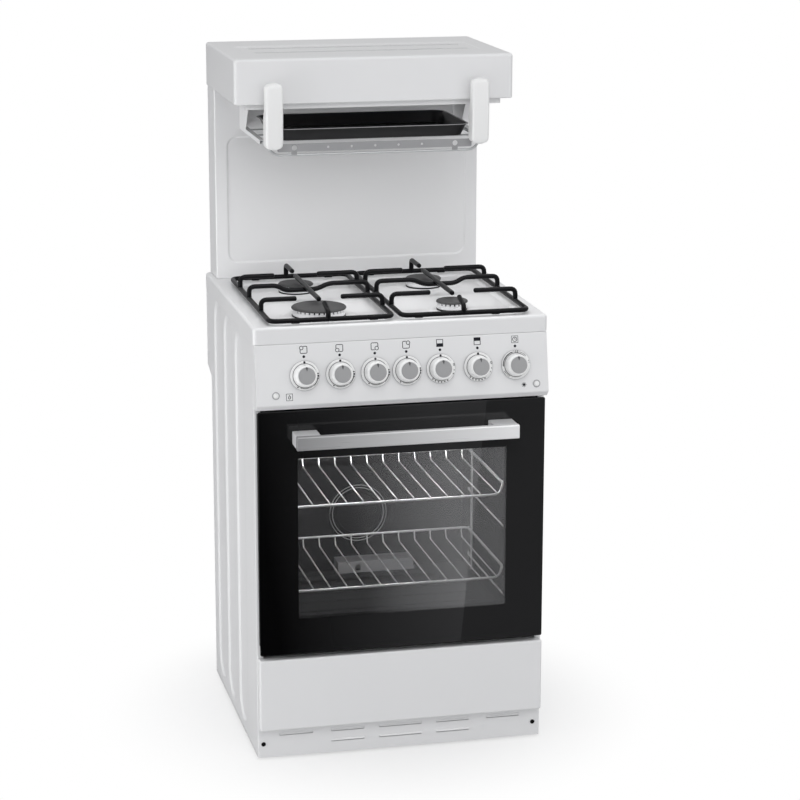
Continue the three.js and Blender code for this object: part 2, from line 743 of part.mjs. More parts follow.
function controlPanel() {
  const back = caseFront - seatGap;
  const skin = outline([[0, caseTop], [-fasciaLean, fasciaKnee], [-fasciaLean + 7, fasciaBottom],
    [back, fasciaBottom], [back, caseTop]]);
  const t = fasciaSheet;
  const hollow = outline([[t, caseTop - t], [-fasciaLean + t, fasciaKnee + 0.2],
    [-fasciaLean + 7.8, fasciaBottom + t], [back + 1, fasciaBottom + t], [back + 1, caseTop - t]]);
  const shell = cut(sweepX(skin, -caseHalf, caseHalf), sweepX(hollow, -caseHalf + t, caseHalf - t));
  const holes = knobPlaces.map((x) => fasciaHole(x, 0, spindleRadius + 2));
  const buttonHoles = Object.values(buttonPlaces).map(([x, z]) => fasciaHole(x, z, buttonRadius + 0.6));
  return cut(shell, holes, buttonHoles);
}

add('control_panel', controlPanel(), whiteEnamel);

// Drawn along +z and then turned to stand out of the fascia.
function knob() {
  const body = revolve([[0, -tapFace], [spindleRadius, -tapFace], [spindleRadius, 1], [knobSkirtRadius, 1],
    [knobSkirtRadius - 0.5, 3.5], [knobRadius, 4.5], [knobRadius - 3, knobReach - 3],
    [knobDisc + 2.5, knobReach], [knobDisc, knobReach], [knobDisc, knobReach - 1], [0, knobReach - 1]], 12);
  const notch = outline([[-2, knobDisc + 1], [0, knobDisc - 7], [2, knobDisc + 1]]);
  return cut(body, sweepZ(notch, knobReach - 3, knobReach + 1));
}

knobPlaces.forEach((x, i) => {
  const mesh = add(`knob_${i + 1}`, knob(), whitePlastic, fascia);
  mesh.position.x = x;
  mesh.rotation.x = Math.PI / 2;
});

function button() {
  const behind = fasciaSheet + seatGap;
  return revolve([[0, -tapFace + buttonTravel + 1], [3, -tapFace + buttonTravel + 1], [3, -behind - 1.5],
    [buttonRadius + 2, -behind - 1.5], [buttonRadius + 2, -behind], [buttonRadius, -behind], [buttonRadius, 3],
    [buttonRadius - 1, 4], [0, 4.4]], 10);
}

for (const [name, [x, z]] of Object.entries(buttonPlaces)) {
  const mesh = add(name, button(), whitePlastic, fascia);
  mesh.position.set(x, 0, z);
  mesh.rotation.x = Math.PI / 2;
}

// The taps stand on a rail behind the fascia, which runs back to the inlet.
function tapRail() {
  const railY = tapFace + 28;
  const tap = (x) => solid(new THREE.CylinderGeometry(tapRadius, tapRadius, railY - tapFace, 6)
    .translate(x, (railY + tapFace + seatGap) / 2, 0));
  const reach = caseHalf - sheet - seatGap;
  const rail = pin(-reach, reach, railY, 0, railRadius, 5);
  const switches = Object.values(buttonPlaces).map(([x, z]) => join(
    box(x - 8, x + 8, tapFace + 1, railY + 4, z - 8, z + 8),
    box(x - 3, x + 3, railY - 4, railY + 4, z - 8, 0)));
  return join(rail, knobPlaces.map(tap), switches);
}

function inletPipe() {
  fascia.updateMatrix();
  const start = new THREE.Vector3(inletX, tapFace + 28, 0).applyMatrix4(fascia.matrix);
  return bentRod([
    [inletX, start.y, start.z],
    [inletX, start.y + 60, knobHeight],
    [inletX, hoodBack, knobHeight],
  ], railRadius, { sides: 8, bend: 20 });
}

fascia.updateMatrix();
const railSolid = solid(geometryOf(tapRail()).applyMatrix4(fascia.matrix));
add('gas_tap_rail', join(railSolid, inletPipe()), galvanised);

// ---------------------------------------------------------------- hob
const wellFloor = hobTop - wellDepth;

function hobPanel() {
  const half = hobWidth / 2;
  const edge = 6;
  const bottom = hobTop - hobThickness;
  const shell = solid(new THREE.ExtrudeGeometry(roundedRect(-half, 0, half, hobDepth, 9), {
    depth: hobThickness, bevelThickness: edge, bevelSize: edge, bevelOffset: -edge, bevelSegments: 2,
    curveSegments: 2 }).translate(0, 0, hobTop - hobThickness - edge));
  const trimmed = shell.intersect(box(-half - 1, half + 1, -1, hobDepth + 1, bottom, hobTop + 1));
  const wellOutline = roundedRect(-well.half, well.front, well.half, well.back, well.corner);
  const dish = flared(wellOutline, wellFloor, hobTop + 0.5, 5, 3);
  const under = sweepZ(roundedRect(-half + 2, 2, half - 2, hobDepth - 2, 7), bottom - 1, wellFloor - 1.5, 1);
  const border = sweepZ(ring(roundedRect(-half + 7, 7, half - 7, hobDepth - 7, 3),
    roundedRect(-well.half - 7, well.front - 7, well.half + 7, well.back + 7, well.corner + 7)),
  wellFloor - 2, hobTop - 1.5, 1);
  const holes = Object.values(burners).map(([x, y, r]) => {
    const hole = new THREE.CylinderGeometry(r - 12, r - 12, 30, 12).rotateX(Math.PI / 2);
    return solid(hole.translate(x, y, wellFloor));
  });
  return cut(trimmed, dish, under, border, holes);
}

add('hob_top', hobPanel(), whiteEnamel);

function burnerCrown(r) {
  const body = revolve([[8, -12], [r - 16, -12], [r - 16, seatGap], [r - 2, seatGap], [r - 1, 2.5], [r - 8, 4.5],
    [r - 2.5, 6.5], [r - 2.5, crownHeight], [r - 10, crownHeight], [r - 10, 9], [8, 9], [8, -12]], 12);
  const count = 3 + Math.round(r / 10);
  const ports = [];
  for (let i = 0; i < count; i++) {
    const port = new THREE.BoxGeometry(14, 3, 8).translate(r - 4, 0, crownHeight);
    ports.push(solid(port.rotateZ((i / count) * Math.PI * 2 + 0.05)));
  }
  return cut(body, ports);
}

function burnerCap(r) {
  const low = crownHeight + seatGap;
  return revolve([[0, low], [r - 1.5, low], [r, low + 1.5], [r - 0.6, low + 4], [r - 4, low + capThickness - 0.6],
    [0, low + capThickness]], 18);
}

for (const [name, [x, y, r]] of Object.entries(burners)) {
  add(`burner_crown_${name}`, burnerCrown(r), aluminium).position.set(x, y, wellFloor);
  add(`burner_cap_${name}`, burnerCap(r), blackRod).position.set(x, y, wellFloor);
}

function panSupport(name, side) {
  const [inner, outer] = [supportInner[name], side * supportOuter];
  const middle = burnerX[name];
  const z = supportFrameZ;
  const halfFrame = (x) => bentRod([[middle + Math.sign(middle - x), supportFront, z], [x, supportFront, z],
    [x, supportBack, z], [middle + Math.sign(middle - x), supportBack, z]], rod, { bend: 18, steps: 2 });
  const finger = (x, y) => bentRod([[x, y, z], [x, y, fingerZ],
    [middle + Math.sign(x - middle) * fingerGap, y, fingerZ]], rod);
  const rows = [burnerFront, burnerRear];
  const fingers = rows.flatMap((y) => [finger(inner, y), finger(outer, y)]);
  const [[topOut, dipOut], [dipIn, topIn]] = [waveBends.outer, waveBends.inner];
  const waveAt = (x, reach) => middle + Math.sign(x - middle) * reach;
  const wave = bentRod([
    [outer, waveY, z],
    [outer, waveY, fingerZ],
    [waveAt(outer, topOut), waveY, fingerZ],
    [waveAt(outer, dipOut), waveY, dipZ],
    [waveAt(inner, dipIn), waveY, dipZ],
    [waveAt(inner, topIn), waveY, fingerZ],
    [inner, waveY, fingerZ],
    [inner, waveY, z],
  ], rod);
  const spine = bentRod([[middle, burnerFront, spineZ], [middle, burnerRear, spineZ]], rod);
  const frontFinger = bentRod([[middle, supportFront, z], [middle, supportFront, fingerZ - 9],
    [middle, burnerFront - frontTip, fingerZ]], rod);
  const rearFinger = bentRod([[middle, supportBack, z], [middle, supportBack, fingerZ],
    [middle, burnerRear + rearTip, fingerZ]], rod);
  const pads = [supportFront, supportBack].flatMap((y) => padPlaces.map((d) => middle + side * d).map((x) =>
    box(x - 6, x + 6, y - 3.5, y + 3.5, hobTop + seatGap, z)));
  return join(halfFrame(inner), halfFrame(outer), fingers, wave, spine, frontFinger, rearFinger, pads);
}

for (const [name, side] of Object.entries(sides)) add(`pan_support_${name}`, panSupport(name, side), blackRod);

// ---------------------------------------------------------------- splashback
function splashback() {
  const foot = hobTop + seatGap;
  const head = cookerHeight - hoodSheet - seatGap;
  const plan = (inset, back) => roundedRect(-splashHalf + inset, splashFront + inset, splashHalf - inset, back, 3);
  const channel = cut(sweepZ(plan(0, splashBack), foot, head, 2),
    sweepZ(plan(sheet, splashBack + 10), foot - 1, head + 1, 1));
  const panel = (grow) => roundedRect(-embossHalf - grow, embossBottom - grow, embossHalf + grow, embossTop + grow,
    24 + grow);
  const pad = sweepY(panel(sheet), splashFront, splashFront + embossDepth + sheet, 3);
  const press = sweepY(panel(0), splashFront - 1, splashFront + embossDepth, 3);
  return cut(join(channel, pad), press);
}

add('splashback', splashback(), whiteEnamel);

function splashbackRear() {
  const front = splashBack + seatGap;
  const plate = box(-splashHalf, splashHalf, front, front + sheet, hobTop + seatGap, hoodBottom - 4);
  const vents = [];
  const { places, length, width, drop } = rearVents;
  for (const x of places) {
    const z = hoodBottom - drop;
    const slot = roundedRect(x - length / 2, z - width / 2, x + length / 2, z + width / 2, width / 2 - 0.1);
    vents.push(sweepY(slot, splashBack - 1, splashBack + 4, 1));
  }
  return cut(plate, vents);
}

add('splashback_rear_cover', splashbackRear(), galvanised);

// ---------------------------------------------------------------- grill
function grillHood() {
  const edge = 5;
  const rise = cookerHeight - hoodBottom;
  const block = solid(new THREE.ExtrudeGeometry(frontRounded(hoodHalf, hoodFront, hoodBack, 9), {
    depth: rise, bevelThickness: edge, bevelSize: edge, bevelOffset: -edge, bevelSegments: 2, curveSegments: 2,
  }).translate(0, 0, hoodBottom - edge));
  const trimmed = block.intersect(box(-hoodHalf - 1, hoodHalf + 1, hoodFront - 1, hoodBack + 1, hoodBottom,
    cookerHeight + 1));
  const t = hoodSheet;
  const hollow = sweepZ(frontRounded(hoodHalf - t, hoodFront + t, hoodBack - t, 7), hoodBottom - 1,
    cookerHeight - t, 1);
  const slots = ventPlaces.map((distance) => {
    const [front, back] = [hoodFront + distance - ventWidth / 2, hoodFront + distance + ventWidth / 2];
    const slot = roundedRect(-ventHalf, front, ventHalf, back, ventWidth / 2 - 0.1);
    return sweepZ(slot, cookerHeight - 5, cookerHeight + 5, 2);
  });
  return cut(trimmed, hollow, slots);
}

add('grill_hood', grillHood(), whiteEnamel);

// The reflector box hangs under the hood and carries the two channels that the carriage runs in.
function grillChassis() {
  const back = splashFront - seatGap;
  const shell = cut(
    box(-chassisHalf, chassisHalf, chassisFront, back, chassisBottom, chassisTop),
    box(-chassisHalf + sheet, chassisHalf - sheet, chassisFront + sheet, back - sheet, chassisBottom - 1,
      chassisTop - sheet));
  const rails = Object.values(sides).map((side) => {
    const web = railX + 5;
    const play = carriageWire + seatGap;
    const channel = cut(
      box(side * (railX - 4), side * (web + sheet), railFront, back, railZ - play - sheet,
        railZ + play + 1 + sheet),
      box(side * (railX - 5), side * web, railFront - 1, back + 1, railZ - play, railZ + play + 1));
    const gusset = outline([[back - 0.6 * hangerDepth, railZ], [back, railZ], [back, chassisTop - 10],
      [back - hangerDepth, chassisTop - 10], [back - hangerDepth, chassisBottom]]);
    const hanger = sweepX(gusset, side * web, side * (web + sheet));
    return join(channel, hanger);
  });
  const ties = Object.values(sides).map((side) => box(side * (railX + 5), side * chassisHalf,
    back - hangerDepth, back, chassisTop - 12, chassisTop - sheet / 2));
  return join(shell, rails, ties);
}

add('grill_chassis', grillChassis(), galvanised);

function grillBurner() {
  const y = hoodFront + grillPlace;
  const { x: halfX, y: halfY } = grillHalf;
  const { each, pitch, width, inset } = grooves;
  const top = chassisTop - sheet - seatGap;
  const bottom = top - grillDepth;
  const body = sweepZ(roundedRect(-halfX, y - halfY, halfX, y + halfY, 20), bottom, top, 3);
  const cuts = [];
  for (let i = -each; i <= each; i++) {
    const x = i * pitch;
    cuts.push(box(x - width / 2, x + width / 2, y - halfY + inset, y + halfY - inset, bottom - 1, bottom + 4));
  }
  return cut(body, cuts);
}

add('grill_burner', grillBurner(), steel);

// Side wires run in the channels, cross wires carry the pan, and the front wire and strip join the handles.
function grillCarriage() {
  const wire = { sides: 4, bend: 10 };
  const lowZ = railZ - carriageDrop;
  const half = (side) => bentRod([[side * railX, carriageBack, railZ], [side * railX, carriageFront + 8, railZ],
    [side * (railX - 20), carriageFront, lowZ], [-side, carriageFront, lowZ]], carriageWire, wire);
  const cross = carriageCross.map((distance) => bentRod([[-railX, panFront + distance, railZ],
    [railX, panFront + distance, railZ]], crossWire, wire));
  const strip = sweepY(roundedRect(-stripHalf, stripBottom, stripHalf, stripTop, 3),
    carriageFront - carriageWire - 1.5, carriageFront - carriageWire, 2);
  const legs = [-stripHole, stripHole].map((x) => box(x - 6, x + 6, carriageFront - carriageWire - 1,
    carriageFront + 2, lowZ, stripBottom + 2));
  const hole = (x, r) => solid(new THREE.CylinderGeometry(r, r, 20, 6).translate(x, carriageFront, stripMiddle));
  const bolts = [-stripHole, stripHole].map((x) => hole(x, boltRadius));
  const vents = [-2, -1, 0, 1, 2].map((i) => hole(i * stripHoles.pitch, stripHoles.radius));
  return cut(join(half(-1), half(1), cross, strip, legs), bolts, vents);
}

add('grill_carriage', grillCarriage(), chrome);

function grillHandle(side) {
  const back = carriageFront - carriageWire - 1.5 - seatGap;
  const face = roundedRect(side * grillHandleX - grillHandleWidth / 2, grillHandleBottom,
    side * grillHandleX + grillHandleWidth / 2, grillHandleTop, grillHandleCorner);
  const profile = new THREE.Shape();
  profile.moveTo(back, grillHandleBottom + 2);
  profile.lineTo(back, hoodBottom - 30);
  profile.quadraticCurveTo(back, hoodBottom - 12, hoodFront - 10, hoodBottom - 6);
  profile.lineTo(hoodFront - 10, grillHandleTop);
  profile.lineTo(grillHandleFront + 8, grillHandleTop);
  profile.quadraticCurveTo(grillHandleFront - 4, (grillHandleTop + grillHandleBottom) / 2, grillHandleFront + 6,
    grillHandleBottom);
  profile.lineTo(back - 4, grillHandleBottom);
  const [near, far] = [side * (grillHandleX - grillHandleWidth), side * (grillHandleX + grillHandleWidth)];
  return sweepY(face, grillHandleFront - 10, back + 5, 4).intersect(sweepX(profile, near, far, 5));
}

for (const [name, side] of Object.entries(sides)) add(`grill_handle_${name}`, grillHandle(side), whitePlastic);

function grillPan() {
  const floor = railZ + crossWire + seatGap;
  const rim = floor + panDepth;
  const t = 1.5;
  const plan = (inset, r) => roundedRect(-panHalf + inset, panFront + inset, panHalf - inset, panBack - inset, r);
  const outside = flared(plan(panSlope, 18), floor, rim, panSlope - 4, 2);
  const inside = flared(plan(panSlope + t, 16), floor + t, rim + 0.5, panSlope - 4, 2);
  const lip = sweepZ(plan(0, 26), rim - t, rim, 3);
  return cut(join(outside, lip), inside);
}

add('grill_pan', grillPan(), blackEnamel);

// ---------------------------------------------------------------- origin under the middle of the box
cooker.position.y = -(hoodBack - handleReach) / 2;

export default cooker;
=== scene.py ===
"""Looks, light and camera for the gas cooker with an eye level grill.

Places are written in millimetres as the cooker is measured: x across, y from the hob's front edge
towards the back, z up from the floor. place() turns them into the frame's metres.
"""
import math

import bmesh
import bpy
from mathutils import Matrix, Vector


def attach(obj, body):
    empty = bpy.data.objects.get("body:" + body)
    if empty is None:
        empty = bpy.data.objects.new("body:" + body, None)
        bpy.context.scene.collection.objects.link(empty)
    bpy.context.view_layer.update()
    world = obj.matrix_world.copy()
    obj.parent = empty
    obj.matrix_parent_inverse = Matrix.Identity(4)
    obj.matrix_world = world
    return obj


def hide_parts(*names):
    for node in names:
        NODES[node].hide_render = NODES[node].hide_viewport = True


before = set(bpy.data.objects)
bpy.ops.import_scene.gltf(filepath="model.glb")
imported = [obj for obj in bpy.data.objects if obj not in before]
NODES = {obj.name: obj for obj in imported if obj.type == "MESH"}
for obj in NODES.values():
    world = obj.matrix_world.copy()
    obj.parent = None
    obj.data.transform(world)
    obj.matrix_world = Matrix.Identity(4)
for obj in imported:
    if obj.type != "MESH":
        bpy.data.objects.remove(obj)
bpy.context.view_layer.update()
SHIFT = 267.0  # the frame's origin is this far behind the hob's front edge


def place(x, y, z):
    return Vector((x / 1000.0, (y - SHIFT) / 1000.0, z / 1000.0))


# ------------------------------------------------------------------ materials
def add_node(tree, kind, inputs=None, **settings):
    """inputs gives a node's sockets their values, or links them where a value is itself a socket."""
    made = tree.nodes.new(kind)
    for key, value in settings.items():
        setattr(made, key, value)
    for key, value in (inputs or {}).items():
        if isinstance(value, bpy.types.NodeSocket):
            tree.links.new(value, made.inputs[key])
        else:
            made.inputs[key].default_value = value
    return made


def grey(level):
    return (level, level, level, 1.0)


class Paint:
    """A node material: a Principled shader with helpers that hang texture on it."""

    def __init__(self, name, color, rough, metal=0.0, coat=0.0, spec=0.5):
        self.mat = bpy.data.materials.new(name)
        self.mat.use_nodes = True
        self.tree = self.mat.node_tree
        self.shader = self.tree.nodes["Principled BSDF"]
        self.out = self.tree.nodes["Material Output"]
        self.color = (*color, 1.0)
        self.set("Base Color", self.color)
        self.set("Roughness", rough)
        self.set("Metallic", metal)
        self.set("Specular IOR Level", spec)
        if coat:
            self.set("Coat Weight", coat)
            self.set("Coat Roughness", 0.08)
        self.coord = self.node("ShaderNodeTexCoord").outputs["Object"]

    def node(self, kind, inputs=None, **settings):
        return add_node(self.tree, kind, inputs, **settings)

    def link(self, a, b):
        self.tree.links.new(a, b)

    def set(self, socket, value):
        self.shader.inputs[socket].default_value = value

    def noise(self, scale, detail=3.0, stretch=(1, 1, 1)):
        mapping = self.node("ShaderNodeMapping", {"Scale": stretch, "Vector": self.coord})
        made = self.node("ShaderNodeTexNoise", {"Scale": scale, "Detail": detail, "Roughness": 0.5,
                                                "Vector": mapping.outputs["Vector"]})
        return made.outputs["Fac"]

    def ramp(self, source, low, high, a, b):
        made = self.node("ShaderNodeMapRange", {"From Min": low, "From Max": high, "To Min": a, "To Max": b,
                                                "Value": source})
        return made.outputs["Result"]

    def mix(self, factor, a, b):
        made = self.node("ShaderNodeMix", {"A": (*a, 1.0), "B": (*b, 1.0), "Factor": factor}, data_type="RGBA")
        return made.outputs["Result"]

    def blend(self, factor, a, b):
        """A mix of two shaders' outputs."""
        return self.node("ShaderNodeMixShader", {0: factor, 1: a, 2: b}).outputs[0]

    def bump(self, source, strength, distance):
        made = self.node("ShaderNodeBump", {"Strength": strength, "Distance": distance, "Height": source})
        self.link(made.outputs["Normal"], self.shader.inputs["Normal"])

    def vary(self, amount, scale=6.0):
        """Tones the colour up and down a little over the surface."""
        darker = tuple(c * (1 - amount) for c in self.color[:3])
        self.link(self.mix(self.noise(scale), darker, self.color[:3]), self.shader.inputs["Base Color"])

    def uneven(self, low, high, scale):
        self.link(self.ramp(self.noise(scale, 4), 0.3, 0.7, low, high), self.shader.inputs["Roughness"])


def enamel(name, color, rough=0.32, ripple=0.02, coat=0.1, spec=0.5):
    """Paint with a slow drift of tone and a faint orange peel."""
    paint = Paint(name, color, rough, coat=coat, spec=spec)
    paint.vary(0.02, 1.5)
    paint.uneven(rough * 0.95, rough * 1.05, 5)
    paint.bump(paint.noise(60, 1), ripple, 0.0002)
    return paint


def metal(name, color, rough, scale, grain=0.15, share=0.85):
    """share is the polished part, the rest scatters softly as worked metal does."""
    paint = Paint(name, color, rough, metal=share)
    paint.vary(0.08, scale / 4)
    paint.uneven(rough * 0.8, rough * 1.25, scale)
    paint.bump(paint.noise(scale * 3, 3), grain, 0.0002)
    return paint


def satin_with_painted_sheen(name, dark, light, rough):
    """Fine-brushed steel with a painted sheen: its colour runs lighter towards the right, as the light falls on it."""
    paint = Paint(name, light, rough, metal=0.15)
    split = paint.node("ShaderNodeSeparateXYZ", {"Vector": paint.coord})
    # painted sheen: the base colour goes from the dark tone at the left to the light one at the right
    along = paint.ramp(split.outputs["X"], -0.24, 0.24, 0.0, 1.0)
    paint.link(paint.mix(along, dark, light), paint.shader.inputs["Base Color"])
    streak = paint.noise(500, 2, (0.02, 1, 1))
    paint.link(paint.ramp(streak, 0.3, 0.7, rough * 0.9, rough * 1.15), paint.shader.inputs["Roughness"])
    paint.bump(streak, 0.04, 0.0001)
    return paint


def door_glass(name):
    """Black printed border round a clear window, with a painted sheen from the upper right: the border's black lightens
    along a slant, and a pale layer over the window is a painted reflection.
    """
    paint = Paint(name, (0.002, 0.002, 0.002), 0.06, spec=0.35)
    paint.uneven(0.04, 0.09, 4)
    split = paint.node("ShaderNodeSeparateXYZ", {"Vector": paint.coord})
    across, upright = split.outputs["X"], split.outputs["Z"]
    middle = (WINDOW_TOP + WINDOW_BOTTOM) / 2000.0

    def calc(operation, a, b=0.0):
        return paint.node("ShaderNodeMath", {0: a, 1: b}, operation=operation).outputs[0]

    def past(value, centre, half):
        away = calc("ABSOLUTE", calc("SUBTRACT", value, centre))
        return calc("MAXIMUM", calc("SUBTRACT", away, half - WINDOW_CORNER), 0.0)

    aside = past(across, 0.0, WINDOW_HALF)
    above = past(upright, middle, (WINDOW_TOP - WINDOW_BOTTOM) / 2000.0)
    distance = calc("SQRT", calc("ADD", calc("MULTIPLY", aside, aside), calc("MULTIPLY", above, above)))
    border = calc("GREATER_THAN", distance, WINDOW_CORNER)
    slant = calc("ADD", across, calc("MULTIPLY", upright, 0.15))
    wavy = calc("ADD", slant, calc("MULTIPLY", paint.noise(2.0, 1), 0.03))
    # the painted sheen and the painted reflection rise along the slant and drop past this slanting edge
    line = calc("SUBTRACT", across, calc("MULTIPLY", upright, 0.1))
    past_sheen_edge = paint.ramp(line, 0.0980, 0.0992, 1.0, 0.58)
    sheen = calc("MULTIPLY", paint.ramp(wavy, -0.2, 0.18, 0.0, 1.0), past_sheen_edge)
    # painted sheen: the border's colour runs from near black to dark grey
    paint.link(paint.mix(sheen, (0.0012, 0.0012, 0.0014), (0.032, 0.032, 0.033)), paint.shader.inputs["Base Color"])
    clear = paint.node("ShaderNodeBsdfTransparent", {"Color": grey(0.88)})
    # painted reflection: a pale diffuse layer mixed into the clear window
    painted_reflection = paint.node("ShaderNodeBsdfDiffuse", {"Color": (0.75, 0.75, 0.76, 1)})
    painted_reflection_share = calc("MULTIPLY", paint.ramp(wavy, -0.02, 0.19, 0.012, 0.14), past_sheen_edge)
    window_with_painted_reflection = paint.blend(painted_reflection_share, clear.outputs[0], painted_reflection.outputs[0])
    gloss = paint.node("ShaderNodeBsdfGlossy", {"Roughness": 0.05})
    facing = paint.node("ShaderNodeFresnel", {"IOR": 1.3})
    pane = paint.blend(facing.outputs[0], window_with_painted_reflection, gloss.outputs[0])
    paint.link(paint.blend(border, pane, paint.shader.outputs[0]), paint.out.inputs["Surface"])
    return paint


def clear_glass(name, tint):
    paint = Paint(name, (tint, tint, tint), 0.04)
    paint.uneven(0.02, 0.06, 6)
    clear = paint.node("ShaderNodeBsdfTransparent", {"Color": grey(tint)})
    facing = paint.node("ShaderNodeFresnel", {"IOR": 1.25})
    pane = paint.blend(facing.outputs[0], clear.outputs[0], paint.shader.outputs[0])
    paint.link(pane, paint.out.inputs["Surface"])
    return paint


WINDOW_BOTTOM, WINDOW_TOP = 304.0, 639.0
WINDOW_HALF, WINDOW_CORNER = 0.215, 0.003  # metres, as the shader measures
WHITE = enamel("white_enamel", (0.80, 0.80, 0.805))
PLASTIC = enamel("white_plastic", (0.87, 0.87, 0.865), 0.3, 0.02)
# a mid grey: real on the buttons' bezels, and painted light elsewhere: painted shade in the hood's vents, a painted
# contact shadow round the knob skirts and a painted highlight on the grill pan's rim
GREY_TRIM_AND_PAINTED_LIGHT = enamel("grey_trim_and_painted_light", (0.40, 0.40, 0.41), 0.3)
ROD = enamel("black_rod", (0.004, 0.004, 0.005), 0.36, 0.2, coat=0.0, spec=0.13)
CAP = enamel("black_cap", (0.056, 0.056, 0.057), 0.55, 0.3, coat=0.0, spec=0.3)
PAN = enamel("black_enamel", (0.024, 0.024, 0.025), 0.3, 0.02, coat=0.1, spec=0.4)
OVEN = enamel("grey_enamel", (0.036, 0.036, 0.038), 0.6, 0.01, coat=0.0, spec=0.2)
CHROME = metal("chrome_wire", (0.97, 0.97, 0.975), 0.2, 120, 0.02, 0.4)
STEEL = satin_with_painted_sheen("handle_steel", (0.29, 0.29, 0.295), (0.98, 0.98, 0.985), 0.3)
BRIGHT = metal("bright_post", (0.86, 0.86, 0.87), 0.3, 20, 0.01, 0.2)
ALLOY = metal("cast_aluminium", (0.93, 0.93, 0.94), 0.34, 220, 0.1, 0.3)
ZINC = metal("galvanised_steel", (0.62, 0.63, 0.64), 0.42, 40, 0.06, 0.45)
STRIP = metal("plated_strip", (0.38, 0.38, 0.39), 0.36, 30, 0.01, 0.2)
SEAL = enamel("seal_cord", (0.03, 0.03, 0.03), 0.8, 0.8, coat=0.0)
FOOT = enamel("foot_plastic", (0.03, 0.03, 0.032), 0.55, 0.2, coat=0.0)
WOOL = enamel("mineral_wool", (0.45, 0.40, 0.25), 0.95, 1.0, coat=0.0)
DISC = enamel("knob_disc", (0.36, 0.36, 0.365), 0.4, 0.05, coat=0.1)
SHADE = enamel("grey_line", (0.10, 0.10, 0.105), 0.5, 0.05, coat=0.0)
PRINT = enamel("black_print", (0.012, 0.012, 0.018), 0.6, 0.02, coat=0.0, spec=0.2)
LAMP = enamel("lamp_glass", (0.70, 0.67, 0.58), 0.15, 0.1)
GLASS = door_glass("door_glass")
PANE = clear_glass("inner_glass", 0.93)
SCREW = metal("dark_screw", (0.02, 0.02, 0.02), 0.5, 200)


# ------------------------------------------------------------------ mesh helpers
def finish_mesh(name, bm, paint, body, slot, angle=35, bevel=0.0, replaces=(), closed=True):
    bmesh.ops.remove_doubles(bm, verts=bm.verts, dist=1e-6)
    if closed:
        bmesh.ops.recalc_face_normals(bm, faces=bm.faces)
    mesh = bpy.data.meshes.new(name)
    bm.to_mesh(mesh)
    bm.free()
    mesh.shade_smooth()
    mesh.set_sharp_from_angle(angle=math.radians(angle))
    obj = bpy.data.objects.new(name, mesh)
    bpy.context.scene.collection.objects.link(obj)
    mesh.materials.append(paint.mat)
    if bevel:
        modifier = obj.modifiers.new("edge", "BEVEL")
        modifier.width = bevel / 1000.0
        modifier.segments = 3
        modifier.limit_method = "ANGLE"
        modifier.angle_limit = math.radians(30)
        modifier.harden_normals = True
    flats = obj.modifiers.new("flats", "WEIGHTED_NORMAL")
    flats.keep_sharp = True
    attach(obj, body)
    if replaces:
        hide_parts(*replaces)
    return obj


def circle(r, count, cx=0.0, cy=0.0):
    return [(cx + r * math.cos(math.tau * i / count), cy + r * math.sin(math.tau * i / count)) for i in range(count)]


def arc_points(cx, cy, r, start, end, steps=16):
    return [(cx + r * math.cos(math.radians(start + (end - start) * i / steps)),
             cy + r * math.sin(math.radians(start + (end - start) * i / steps))) for i in range(steps + 1)]


def skin(bm, one, two):
    """Faces between two closed rows of as many points."""
    count = len(one)
    for i in range(count):
        j = (i + 1) % count
        bm.faces.new((one[i], one[j], two[j], two[i]))


def rounded(a0, b0, a1, b1, radii, steps=7):
    """Points round a rectangle. radii are for the corners (a1 b0), (a1 b1), (a0 b1), (a0 b0)."""
    if not isinstance(radii, (tuple, list)):
        radii = (radii,) * 4
    corners = [(a1, b0, -90, 1, -1), (a1, b1, 0, 1, 1), (a0, b1, 90, -1, 1), (a0, b0, 180, -1, -1)]
    points = []
    for (a, b, start, sa, sb), r in zip(corners, radii):
        r = max(r, 0.05)
        points += arc_points(a - sa * r, b - sb * r, r, start, start + 90, steps)
    return points


AXES = {
    "x": lambda a, b, level: place(level, a, b),
    "y": lambda a, b, level: place(a, level, b),
    "z": lambda a, b, level: place(a, b, level),
}


HOLE_DEPTH = 3.0


def loft(name, rings, paint, body, slot, axis="z", cap=(True, True), holes=(), **rest):
    """Skins rings of (points, level). The last cap can have holes cut in it, each with a short wall."""
    to_3d = AXES[axis]
    bm = bmesh.new()
    rows = [[bm.verts.new(to_3d(a, b, level)) for a, b in points] for points, level in rings]
    for one, two in zip(rows, rows[1:]):
        skin(bm, one, two)
    if cap[0]:
        bm.faces.new(rows[0])
    if cap[1] and not holes:
        bm.faces.new(rows[-1])
    if holes:
        level = rings[-1][1]
        edges = [e for e in bm.edges if e.verts[0] in rows[-1] and e.verts[1] in rows[-1]]
        for points in holes:
            top = [bm.verts.new(to_3d(a, b, level)) for a, b in points]
            low = [bm.verts.new(to_3d(a, b, level - HOLE_DEPTH)) for a, b in points]
            skin(bm, top, low)
            edges += [bm.edges.get((a, b)) for a, b in zip(top, top[1:] + top[:1])]
            bm.faces.new(low)
        bmesh.ops.triangle_fill(bm, edges=edges, use_beauty=True)
    return finish_mesh(name, bm, paint, body, slot, **rest)


def soft_edge(ring, level, r, direction, steps=5):
    """Rings that turn from a side wall into a face at level, round a radius."""
    made = []
    for i in range(steps + 1):
        t = math.radians(90.0 * i / steps)
        made.append((ring(r * (1 - math.cos(t))), level - direction * r * (1 - math.sin(t))))
    return made


